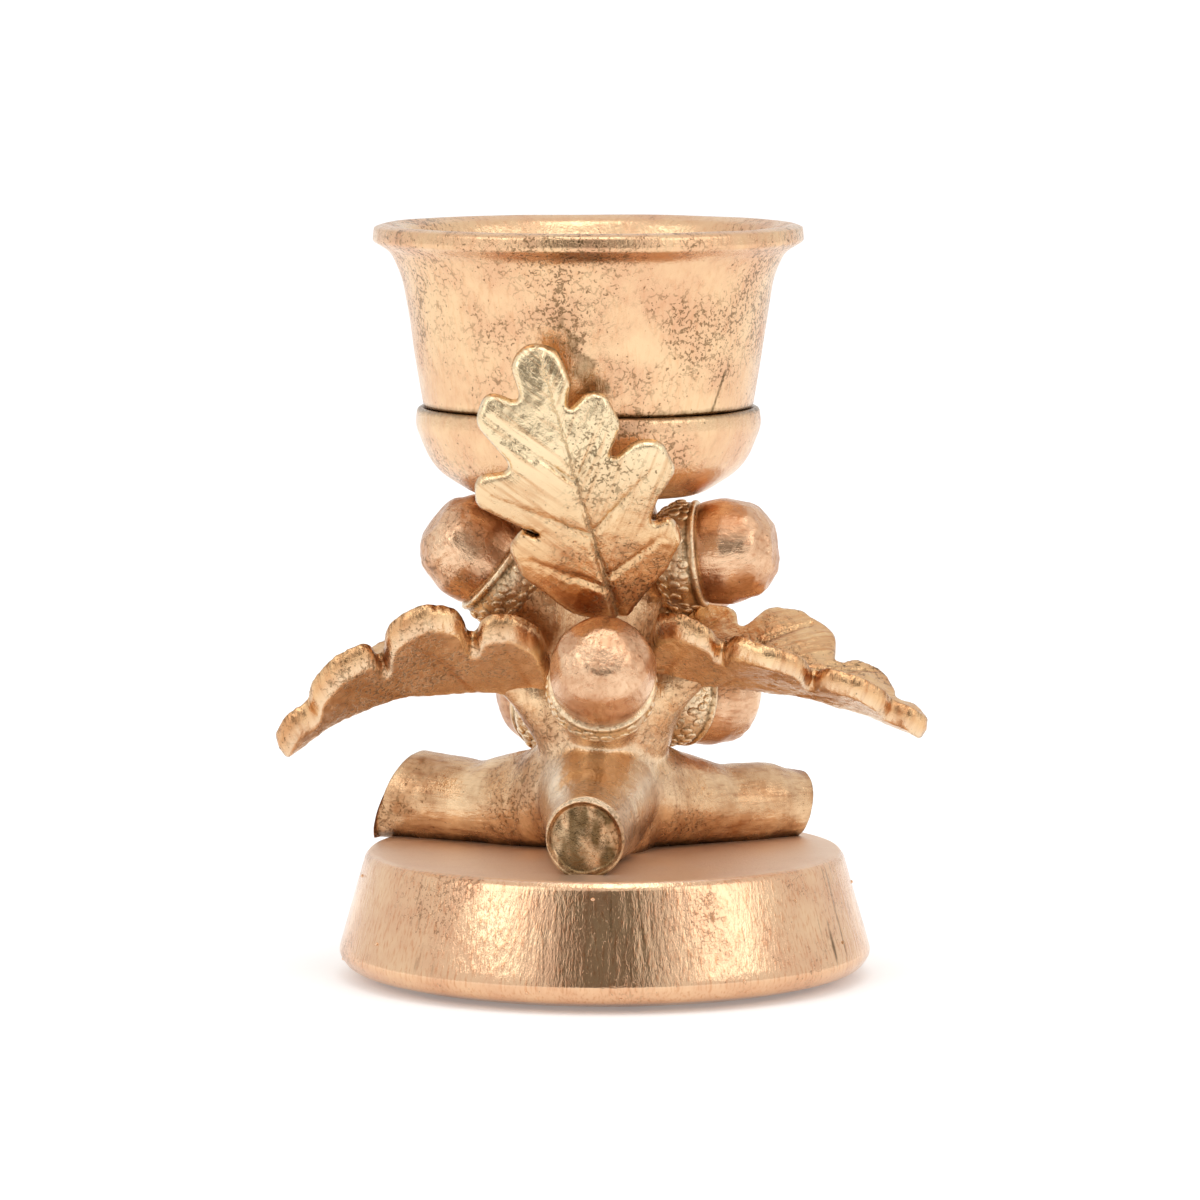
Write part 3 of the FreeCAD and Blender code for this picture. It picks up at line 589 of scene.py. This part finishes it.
# %% Saw cuts and trim
for side, (bearing, reach, lean, stations) in CUT_BRANCHES.items():
    way = facing(0, 0, 0, bearing, lean).to_3x3() @ Vector((0, 0, 1))
    end = along(bearing, [(reach, stations[-1][1], 0)])[0]
    past = (points / MM - end[:3]) @ np.array(way)
    near = np.linalg.norm(points / MM - end[:3], axis=1) < 12
    points -= np.outer(np.where(near, np.maximum(past, 0), 0), way) * MM
    if side == "front":
        past = np.minimum(past, 0)
        from_axis = np.linalg.norm(points / MM - end[:3] - np.outer(past, way), axis=1)
        uneven = 0.25 * ripple(points, 3 * MM, 16)
        sunk = np.clip((4.95 + uneven - from_axis) / 0.6, 0, 1) * (past > -0.4) * near
        rough_floor = 0.9 + 0.3 * ripple(points * (1, 1, 0.35), 1.1 * MM, 15)
        points -= np.outer(sunk * rough_floor, way) * MM
        streaked = sunk * (0.75 + 1.1 * ripple(points * (1, 1, 0.3), 1.2 * MM, 17))
        hollows = np.where(sunk > 0, np.maximum(hollows, streaked), hollows)
points[:, 2] = np.clip(points[:, 2], BASE_TOP - 0.3 * MM, CROWN_TOP)
# The strokes run up the trunk and out along each cut branch, and turn from one to the other smoothly
run = points.copy()
for bearing, reach, lean, stations in CUT_BRANCHES.values():
    way = np.array((math.cos(math.radians(bearing)), math.sin(math.radians(bearing)), 0))
    pivot = np.array((CROWN_AXIS, 0, BASE_TOP + 6 * MM)) + 10 * MM * way
    offset = points - pivot
    turned_run = pivot + np.stack([offset @ (-way[1], way[0], 0), offset[:, 2], offset @ way], axis=1)
    share = np.clip((offset @ way + 4 * MM) / (8 * MM), 0, 1)
    share = share * np.clip((10 * MM - offset[:, 2]) / (5 * MM), 0, 1)
    share = (share * share * (3 - 2 * share))[:, None]
    run = run * (1 - share) + turned_run * share
branch = add_mesh("branch", points, [tuple(p.vertices) for p in skin.polygons], hollows, run)
dress(branch, BRANCH_GOLD, "gilded_branch", "branch_crown")

# %% [markdown]
# ## Acorns
#
# Each acorn is a nut, pebbled towards its tip, in a scaly cap with a thin bright rim. All six come from
# the same two outlines, and each is roughened differently so that no two look alike.

# %% Nuts and caps
ACORN_STEPS = 180
nut_outline = rounded([
    (0, -0.6 * MM, 0), (6.2 * MM, -0.6 * MM, 0.2 * MM), (6.75 * MM, 0.8 * MM, 2 * MM),
    (7.15 * MM, 3.6 * MM, 4 * MM), (6.2 * MM, 7.8 * MM, 3 * MM), (3.4 * MM, 10.0 * MM, 2 * MM),
    (0.8 * MM, 10.3 * MM, 1 * MM), (0, 10.35 * MM, 0)], 0.22 * MM)
cap_outline = rounded([
    (0, -7.0 * MM, 0), (3.4 * MM, -6.8 * MM, 1.5 * MM), (6.3 * MM, -5.0 * MM, 2 * MM),
    (7.25 * MM, -2.5 * MM, 2 * MM), (6.95 * MM, -0.75 * MM, 0.3 * MM), (7.2 * MM, -0.55 * MM, 0.2 * MM),
    (7.2 * MM, 0.0 * MM, 0.2 * MM), (6.6 * MM, 0.2 * MM, 0.2 * MM), (0, 0.15 * MM, 0)], 0.22 * MM)


def wrinkled(seed, pebbled):
    """Pebbles towards the tip of a nut, and a gentle unevenness all over."""
    def push(radius, height, turn):
        spots = np.stack([radius * np.cos(turn), radius * np.sin(turn), height], axis=1)
        near_tip = np.clip((height - 4 * MM) / (4 * MM), 0, 1)
        fade = np.clip(radius / (1.5 * MM), 0, 1)
        pebbles = 0.3 * np.abs(ripple(spots, 1.9 * MM, seed)) + 0.1 * ripple(spots, 0.9 * MM, seed + 2)
        uneven = 0.22 * ripple(spots, 5 * MM, seed + 1)
        sunk = -0.3 * pebbled * near_tip * np.abs(ripple(spots, 2.4 * MM, seed + 3))
        return fade * (uneven - pebbled * (near_tip * pebbles)) * MM, sunk * MM
    return push


def lumpy(seed):
    """A gentle unevenness for a cap."""
    def push(radius, height, turn):
        spots = np.stack([radius * np.cos(turn), radius * np.sin(turn), height], axis=1)
        outside = np.clip((-0.8 * MM - height) / (0.8 * MM), 0, 1) * np.clip(radius / (2 * MM), 0, 1)
        return outside * 0.22 * MM * ripple(spots, 2.2 * MM, seed), np.zeros_like(height)
    return push


# %% [markdown]
# The scales of a cap, and the small beads that air bubbles in the mould left on the plinth, repeat
# over a surface. Geometry Nodes scatter them: points spread over a band of the piece at an even
# spacing, a flattened ball on each, and everything made real and joined to the piece.

# %% Scales and beads by Geometry Nodes
def stud_nodes():
    """A tree that scatters flattened balls over a band of a mesh, low and high along its own axis."""
    tree = bpy.data.node_groups.new("studs", "GeometryNodeTree")
    tree.interface.new_socket("Geometry", in_out="INPUT", socket_type="NodeSocketGeometry")
    for title in ("Spacing", "Radius", "Flatness", "Low", "High"):
        tree.interface.new_socket(title, in_out="INPUT", socket_type="NodeSocketFloat")
    tree.interface.new_socket("Seed", in_out="INPUT", socket_type="NodeSocketInt")
    tree.interface.new_socket("Finish", in_out="INPUT", socket_type="NodeSocketMaterial")
    tree.interface.new_socket("Geometry", in_out="OUTPUT", socket_type="NodeSocketGeometry")
    given = tree.nodes.new("NodeGroupInput").outputs
    run = node(tree, "GeometryNodeInputNamedAttribute", data_type="FLOAT_VECTOR", Name="grain")
    height = node(tree, "ShaderNodeSeparateXYZ", Vector=run.outputs["Attribute"]).outputs["Z"]
    above = node(tree, "FunctionNodeCompare", operation="GREATER_THAN", A=height, B=given["Low"])
    below = node(tree, "FunctionNodeCompare", operation="LESS_THAN", A=height, B=given["High"])
    band = tree.nodes.new("FunctionNodeBooleanMath")
    tree.links.new(above.outputs[0], band.inputs[0])
    tree.links.new(below.outputs[0], band.inputs[1])
    area = node(tree, "ShaderNodeMath", operation="MULTIPLY")
    tree.links.new(given["Spacing"], area.inputs[0])
    tree.links.new(given["Spacing"], area.inputs[1])
    density = node(tree, "ShaderNodeMath", operation="DIVIDE")
    density.inputs[0].default_value = 3
    tree.links.new(area.outputs[0], density.inputs[1])
    spread = node(tree, "GeometryNodeDistributePointsOnFaces", distribute_method="POISSON",
                  Mesh=given["Geometry"], Selection=band.outputs[0], Distance_Min=given["Spacing"],
                  Density_Max=density.outputs[0], Seed=given["Seed"])
    ball = node(tree, "GeometryNodeMeshIcoSphere", Radius=given["Radius"], Subdivisions=2)
    smooth = node(tree, "GeometryNodeSetShadeSmooth", Geometry=ball.outputs["Mesh"])
    shape = node(tree, "ShaderNodeCombineXYZ", X=1.0, Y=0.8, Z=given["Flatness"])
    placed = node(tree, "GeometryNodeInstanceOnPoints", Points=spread.outputs["Points"],
                  Instance=smooth.outputs["Geometry"], Rotation=spread.outputs["Rotation"],
                  Scale=shape.outputs[0])
    joined = tree.nodes.new("GeometryNodeJoinGeometry")
    tree.links.new(placed.outputs[0], joined.inputs[0])
    tree.links.new(given["Geometry"], joined.inputs[0])
    real = node(tree, "GeometryNodeRealizeInstances", Geometry=joined.outputs[0])
    dressed = node(tree, "GeometryNodeSetMaterial", Geometry=real.outputs[0], Material=given["Finish"])
    out = tree.nodes.new("NodeGroupOutput")
    tree.links.new(dressed.outputs[0], out.inputs[0])
    return tree


STUDS = stud_nodes()


def studded(item, **values):
    """Runs the tree on a piece and keeps the result as a plain mesh."""
    modifier = item.modifiers.new("studs", "NODES")
    modifier.node_group = STUDS
    for socket in STUDS.interface.items_tree:
        if socket.in_out == "INPUT" and socket.name in values:
            modifier[socket.identifier] = values[socket.name]
    shaped = item.evaluated_get(bpy.context.evaluated_depsgraph_get())
    mesh = bpy.data.meshes.new_from_object(shaped)
    item.modifiers.clear()
    item.data = mesh


studded(base, Spacing=11 * MM, Radius=0.3 * MM, Flatness=0.7, Low=2 * MM, High=16.2 * MM, Seed=4,
        Finish=BASE_GOLD)
dress(base, BASE_GOLD, "gilded_base", "base_plinth")

# %% Six acorns
for seed, (name, bearing, rise, reach, height) in enumerate(ACORNS, start=20):
    turn = math.radians(bearing)
    place = facing(CROWN_AXIS + reach * MM * math.cos(turn), reach * MM * math.sin(turn), height * MM,
                   bearing, rise)
    pebbled = 0.35 if name == "front" else 0.9
    nut = turned("%s_nut" % name, nut_outline, ACORN_STEPS, place, wrinkled(seed, pebbled),
                 lambda radius, height, turn: 0.8 * bump(height, 0.5 * MM) + 0.2 * bump(radius, 0.8 * MM),
                 0.5 * MM)
    dress(nut, ACORN_GOLD, "gilded_acorn_nut", "acorn_%s_nut" % name)
    # The caps are painted a paler gold all over, painted light that lifts the shade their neighbours cast,
    # with toner in the groove by the rim.
    cap = turned("%s_cap" % name, cap_outline, ACORN_STEPS, place, lumpy(seed),
                 lambda radius, height, turn: 1.0 * bump(height + 0.95 * MM, 0.35 * MM) - 0.2, 0.5 * MM)
    studded(cap, Spacing=1.25 * MM, Radius=0.85 * MM, Flatness=0.3, Low=-6.5 * MM, High=-1.5 * MM, Seed=seed,
            Finish=CAP_GOLD)
    dress(cap, CAP_GOLD, "gilded_acorn_cap", "acorn_%s_cap" % name)

# %% [markdown]
# ## Leaves
#
# An oak leaf is drawn flat first, as an outline with rounded lobes and a midrib with side veins. The
# flat leaf is then filled with a fine mesh, folded up from its midrib, bent along its length, and
# given a thickness that falls to nothing at the edge, so the edge is round like a cast one.

# %% Flat outlines and veins
# A corner of an outline is a share of the length, a share of the half width and its rounding in
# millimetres. A vein runs from one pair of shares to another.
UPRIGHT = {
    "outline": [
        (0, -0.12, 0), (0.04, -0.25, 3.4), (0.13, -0.62, 4), (0.215, -0.84, 1.7), (0.315, -0.83, 2.4),
        (0.30, -0.56, 0.9), (0.38, -0.73, 4), (0.46, -0.99, 2), (0.575, -0.93, 2.7), (0.60, -0.7, 3.4),
        (0.547, -0.33, 0.9), (0.657, -0.59, 2), (0.78, -0.52, 2.7), (0.80, -0.36, 2.7),
        (0.746, -0.09, 0.9), (0.838, -0.23, 2.4), (0.96, -0.19, 2.4), (1.01, 0.07, 3.4),
        (0.96, 0.31, 3.1), (0.817, 0.295, 0.9), (0.90, 0.6, 2.4), (0.80, 0.8, 2.7), (0.61, 0.545, 1.2),
        (0.635, 0.95, 2.4), (0.53, 1.02, 2), (0.359, 0.48, 0.9), (0.42, 0.62, 2), (0.36, 0.84, 2),
        (0.25, 0.8, 3.4), (0.068, 0.45, 4), (0, 0.12, 0)],
    "veins": [[(0.17, -0.02), (0.26, -0.66)], [(0.34, -0.02), (0.5, -0.8)], [(0.52, 0.0), (0.70, -0.48)],
              [(0.13, 0.02), (0.30, 0.64)], [(0.33, 0.02), (0.55, 0.84)], [(0.52, 0.02), (0.80, 0.64)]],
}
SIDE = {
    "outline": [
        (0, -0.14, 0), (0.04, -0.55, 3.4), (0.10, -0.80, 3.4), (0.24, -0.78, 3.4), (0.27, -0.5, 1.2),
        (0.33, -0.84, 3.4), (0.45, -0.92, 4), (0.60, -0.76, 3.4), (0.63, -0.34, 1.2),
        (0.68, -0.52, 2.7), (0.80, -0.52, 3.4), (0.86, -0.3, 1.7), (0.87, -0.17, 0.9),
        (0.94, -0.24, 1.7), (1.02, 0.03, 3.4), (0.96, 0.30, 1.7), (0.88, 0.24, 0.9), (0.87, 0.50, 2.7),
        (0.78, 0.70, 3.4), (0.64, 0.68, 2.4), (0.60, 0.38, 1.2), (0.59, 0.84, 3.4), (0.46, 0.98, 4),
        (0.32, 0.86, 3.4), (0.28, 0.5, 1.2), (0.25, 0.78, 2.7), (0.14, 0.84, 3.4), (0.04, 0.70, 2.7),
        (0.01, 0.4, 1.7), (0, 0.14, 0)],
    "veins": [[(0.04, -0.02), (0.2, -0.66)], [(0.25, -0.02), (0.5, -0.74)], [(0.5, 0.0), (0.76, -0.4)],
              [(0.02, 0.02), (0.16, 0.66)], [(0.25, 0.02), (0.5, 0.8)], [(0.5, 0.02), (0.76, 0.54)]],
}
HALF_WIDTH = 13.2  # millimetres


def from_line(points, start, finish):
    """Distance of flat points from a straight line, and the share of the way along it."""
    start, finish = np.array(start), np.array(finish)
    way = finish - start
    share = np.clip(((points - start) @ way) / (way @ way), 0, 1)
    return np.linalg.norm(points - start - share[:, None] * way, axis=1), share


def flat_leaf(shape, length, spacing, mirrored):
    """A fine flat mesh inside the outline, in millimetres: its points with those of the edge first, its
    triangles, how deep inside each point lies, and how many points the edge has."""
    hand = -1 if mirrored else 1
    corners = [(along * length, across * HALF_WIDTH * hand, radius)
               for along, across, radius in shape["outline"]]
    edge = rounded(corners, spacing, closed=True)
    low, high = edge.min(axis=0), edge.max(axis=0)
    grid = np.array([(x, y) for x in np.arange(low[0], high[0], spacing)
                     for y in np.arange(low[1], high[1], spacing)])
    grid += 0.25 * spacing * np.sin(grid[:, ::-1] * 9.7 / spacing)
    depth = np.full(len(grid), 1e9)
    inside = np.zeros(len(grid), bool)
    for start, finish in zip(edge, np.roll(edge, -1, axis=0)):
        distance, share = from_line(grid, start, finish)
        depth = np.minimum(depth, distance)
        crosses = (start[1] > grid[:, 1]) != (finish[1] > grid[:, 1])
        if start[1] != finish[1]:
            at = start[0] + (grid[:, 1] - start[1]) * (finish[0] - start[0]) / (finish[1] - start[1])
            inside ^= crosses & (grid[:, 0] < at)
    keep = inside & (depth > 0.55 * spacing)
    ring = [(i, (i + 1) % len(edge)) for i in range(len(edge))]
    result = delaunay_2d_cdt([Vector(p) for p in np.vstack([edge, grid[keep]])], ring, [], 1, 1e-6)
    points = np.array([p[:] for p in result[0]])
    depth = np.full(len(points), 1e9)
    for start, finish in zip(edge, np.roll(edge, -1, axis=0)):
        depth = np.minimum(depth, from_line(points, start, finish)[0])
    order = np.argsort(depth > 1e-4, kind="stable")
    place = np.argsort(order)
    return points[order], [tuple(place[list(f)]) for f in result[2]], depth[order], int((depth <= 1e-4).sum())


def leaf(name, shape, length, lean, bend, fold, place, mirrored=False, thickness=2.4, seed=1, spacing=0.36,
         edge_share=0.38):
    """A thick folded leaf. fold(share, side) is how steeply a half leans up, in degrees."""
    points, triangles, depth, rim = flat_leaf(shape, length, spacing, mirrored)
    share, across = points[:, 0] / length, points[:, 1]
    hand = -1 if mirrored else 1
    midrib = np.abs(across)
    veins = np.zeros(len(points))
    for (a, b), (c, d) in shape["veins"]:
        start, finish = (a * length, b * HALF_WIDTH * hand), (c * length, d * HALF_WIDTH * hand)
        distance, along = from_line(points, start, finish)
        veins = np.maximum(veins, bump(distance, 0.3) * (1 - 0.6 * along))
        beside = np.array((0, 1.25 if (b + d) * hand > 0 else -1.25))
        for shift, depth_share in ((1, 0.5), (-1, 0.35)):
            near_start = np.array(start) * 0.65 + np.array(finish) * 0.35 + shift * beside + (0.4 * shift, 0)
            near_finish = np.array(start) * 0.12 + np.array(finish) * 0.88 + shift * beside * 0.7
            distance, along = from_line(points, near_start, near_finish)
            veins = np.maximum(veins, depth_share * bump(distance, 0.24) * (1 - along ** 2))
    rib = bump(midrib, 0.42) * np.clip(1.1 - share, 0, 1)
    groove = np.maximum(veins, rib)
    puff = 0.35 * (1 - bump(np.minimum(depth, 6), 2.6)) * (1 - groove)
    tilt = np.radians([fold(s, side) for s, side in zip(share, np.sign(across))])
    soft = np.sqrt(across ** 2 + 1.2) - math.sqrt(1.2)
    rise = lean * share + 4 * bend * share * (1 - share) + np.tan(tilt) * soft
    spots = np.stack([points[:, 0], across, np.zeros(len(points))], axis=1)
    rise += 0.45 * ripple(spots, 5.5, seed) * np.clip(depth / 2, 0.3, 1)
    from_rim = 1 - np.clip(depth / (thickness * edge_share), 0, 1)
    full = thickness / 2 * np.sqrt(np.clip(1 - from_rim ** 2, 0, 1))
    pebbles = 0.1 * ripple(spots, 1.0, seed + 1) + 0.06 * ripple(spots, 0.5, seed + 2)
    slope = lean / length + 4 * bend * (1 - 2 * share) / length
    steep = 1 / np.sqrt(1 + slope ** 2)
    body = full > 0
    upper = rise + full / np.cos(tilt) - 0.55 * groove * body + puff * body + pebbles * body
    lower = rise - full / np.cos(tilt) + 0.14 * groove * body + pebbles * body
    lower = np.minimum(lower, upper - 0.3 * body)
    top = np.stack([points[:, 0] - slope * steep * (upper - rise) * 0.6, across, upper], axis=1)
    under = np.stack([points[:, 0] - slope * steep * (lower - rise) * 0.6, across, lower], axis=1)[rim:]
    vertices = np.vstack([top, under]) * MM
    shift = len(points) - rim
    faces = list(triangles)
    for a, b, c in triangles:
        faces.append(tuple(v if v < rim else v + shift for v in (c, b, a)))
    # Toner in the veins on both faces. The underside is also painted a paler gold, painted light on its
    # shade.
    hollows = np.concatenate([0.5 * groove, 0.3 * groove[rim:] - 0.24])
    flat = np.vstack([points, points[rim:]])
    side, aslant = np.sign(flat[:, 1]), math.radians(38)
    stroke = flat[:, 0] * math.cos(aslant) + np.abs(flat[:, 1]) * math.sin(aslant)
    beside = np.abs(flat[:, 1]) * math.cos(aslant) - flat[:, 0] * math.sin(aslant)
    grain = np.stack([beside, 40 * side, stroke], axis=1) * MM
    world = [place @ Vector(v) for v in vertices]
    return add_mesh(name, world, faces, hollows, grain)


def rooted(bearing, rise, roll, root_bearing, reach, height):
    """Where a leaf starts, and how it is turned."""
    turn = (Matrix.Rotation(math.radians(bearing), 4, "Z") @ Matrix.Rotation(-math.radians(rise), 4, "Y")
            @ Matrix.Rotation(math.radians(roll), 4, "X"))
    root = math.radians(root_bearing)
    place = (CROWN_AXIS + reach * MM * math.cos(root), reach * MM * math.sin(root), height * MM)
    return Matrix.Translation(place) @ turn


front = leaf("front_leaf", UPRIGHT, 39.4, 18, 7, lambda share, side: 6,
             rooted(180, 74, -90, 285, 9.6, 49.6), seed=31)
dress(front, LEAF_GOLD, "gilded_leaf", "leaf_front")
back = leaf("back_leaf", UPRIGHT, 39.4, 18, 7, lambda share, side: 6,
            rooted(20, 74, -90, 125, 9.6, 49.6), seed=32)
dress(back, LEAF_GOLD, "gilded_leaf", "leaf_back")
left = leaf("left_leaf", SIDE, 37.5, 0, 5, lambda share, side: 43 - 4 * share if side > 0 else 20,
            rooted(191, -10, 0, 200, 7, 38.6), thickness=2.9, seed=33, spacing=0.31, edge_share=0.24)
dress(left, LEAF_GOLD, "gilded_leaf", "leaf_left")
right = leaf("right_leaf", SIDE, 38.5, 0, 2.6,
             lambda share, side: 37 - 20 * share ** 2 if side > 0 else 46 - 24 * min(1, share / 0.45),
             rooted(-12, -9.5, 0, -25, 7, 41), mirrored=True, thickness=2.9, seed=34, spacing=0.31,
             edge_share=0.24)
dress(right, LEAF_GOLD, "gilded_leaf", "leaf_right")

# %% [markdown]
# ## Hidden pieces
#
# The felt disc, the bolt, its washer and its nut keep the shapes of the part and only get a finish.

# %% Felt and zinc
def plain(name, colour, other, size, metallic, rough, relief):
    """A finish of two near colours mixed by fine noise."""
    material = bpy.data.materials.new(name)
    material.use_nodes = True
    tree = material.node_tree
    shader = tree.nodes["Principled BSDF"]
    place = node(tree, "ShaderNodeTexCoord").outputs["Object"]
    fine = speckle(tree, place, size)
    tree.links.new(mixed(tree, fine, rgb(colour), rgb(other)), shader.inputs["Base Color"])
    shader.inputs["Metallic"].default_value = metallic
    shader.inputs["Roughness"].default_value = rough
    lift = node(tree, "ShaderNodeBump", Strength=1.0, Distance=relief)
    tree.links.new(fine, lift.inputs["Height"])
    tree.links.new(lift.outputs[0], shader.inputs["Normal"])
    return material


FELT = plain("brown wool felt", "#4A3A2C", "#33271D", 0.6 * MM, 0.0, 0.95, 0.2 * MM)
ZINC = plain("zinc plated steel", "#B9BBB8", "#9FA19E", 0.9 * MM, 1.0, 0.38, 0.02 * MM)
HIDDEN = {"felt_pad": FELT, "through_bolt": ZINC, "base_washer": ZINC, "hex_nut": ZINC}
for name, finish in HIDDEN.items():
    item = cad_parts[name]
    item.data.materials.clear()
    item.data.materials.append(finish)

# %% [markdown]
# ## Light and camera
#
# A pale table and a pale room light the gold from all sides. Polished gold shows what stands around it,
# so dark cards stand between the camera and the object, where the camera doesn't see them. They give
# the dark streaks down the middle of the plinth and the lip. Light Path, and not more lamps, makes the
# table white for the camera and for gold that mirrors it. For all other light it glows hardly at all.

# %% Table, cards and room
def panel(name, size, place):
    """A flat rectangle for the stage."""
    width, depth = size[0] / 2, size[1] / 2
    corners = ((-width, -depth, 0), (width, -depth, 0), (width, depth, 0), (-width, depth, 0))
    return add_mesh(name, [place @ Vector(corner) for corner in corners], [(0, 1, 2, 3)])


def matte(name, colour):
    """A dull finish of one colour, with its shader."""
    material = bpy.data.materials.new(name)
    material.use_nodes = True
    shader = material.node_tree.nodes["Principled BSDF"]
    shader.inputs["Base Color"].default_value = (*colour, 1)
    shader.inputs["Roughness"].default_value = 0.9
    return material, shader


TABLE_SIZE = (60, 60)
GLOW, WHITE_GLOW = 0.04, 0.2
floor = panel("table", TABLE_SIZE, Matrix())
table_white, shader = matte("white table", (0.9, 0.9, 0.9))
shader.inputs["Emission Color"].default_value = (1, 1, 1, 1)
tree = table_white.node_tree
rays = node(tree, "ShaderNodeLightPath").outputs
seen = summed(tree, rays["Is Camera Ray"], 1.0, rays["Is Glossy Ray"])
seen = summed(tree, seen, 1.0, rays["Is Transmission Ray"])
tree.links.new(ramp(tree, seen, 0, 1, GLOW, WHITE_GLOW), shader.inputs["Emission Strength"])
floor.data.materials.append(table_white)
# The cards stand upright before the camera: a wide one and two strips, each a middle and a width
CARDS = [(-0.03, 0.5), (0.245, 0.018), (0.29, 0.022)]
CARD_PLACE, CARD_MIDDLE, CARD_HEIGHT = -0.7, 0.232, 0.46
cards = []
for middle, width in CARDS:
    upright = Matrix.Rotation(math.radians(90), 4, "X")
    place = Matrix.Translation((middle, CARD_PLACE, CARD_MIDDLE)) @ upright
    cards.append(panel("dark_card", (width, CARD_HEIGHT), place))
card_black, shader = matte("dark cloth", (0.2, 0.18, 0.15))
for card in cards:
    card.data.materials.append(card_black)
    card.visible_camera = False
    card.visible_shadow = False
    card.visible_diffuse = False

world = bpy.data.worlds.new("pale room")
bpy.context.scene.world = world
world.use_nodes = True
background = world.node_tree.nodes["Background"]
background.inputs["Color"].default_value = (1, 1, 1, 1)
background.inputs["Strength"].default_value = 0.95
print("stage: a table and %d dark cards" % len(cards))

# %% Soft lamps
LAMP_TARGET = (0, 0, 0.05)
LAMP_SIZE = 0.7


def lamp(name, place, power):
    """A soft square light that faces the object."""
    light = bpy.data.lights.new(name, "AREA")
    light.shape = "SQUARE"
    light.size = LAMP_SIZE
    light.energy = power
    item = bpy.data.objects.new(name, light)
    item.location = place
    item.rotation_euler = (Vector(LAMP_TARGET) - Vector(place)).to_track_quat("-Z", "Y").to_euler()
    bpy.context.scene.collection.objects.link(item)


lamp("key_light", (-1.0, -0.7, 0.8), 2.3)
lamp("fill_light", (1.0, -0.6, 0.7), 1.9)
lamp("top_light", (0.1, -0.5, 1.4), 3.1)
bpy.context.scene.view_settings.view_transform = "Standard"
print("lamps:", len(bpy.data.lights))

# %% [markdown]
# The camera stands where the photograph was taken from. Its place and tilt were fitted to the outlines
# in the photograph, and its lens to the size of the object in the picture.

# %% Camera
camera_data = bpy.data.cameras.new("camera")
camera_data.sensor_width = 36
camera_data.lens = 204
camera = bpy.data.objects.new("camera", camera_data)
camera.location = (-0.6 * MM, -911.1 * MM, 145.0 * MM)
LOOKS_DOWN = 5.9
camera.rotation_euler = (math.radians(90 - LOOKS_DOWN), 0, 0)
bpy.context.scene.collection.objects.link(camera)
bpy.context.scene.camera = camera
print("camera: %.0f mm from the axis, looks down by %.1f degrees" % (-camera.location.y / MM, LOOKS_DOWN))
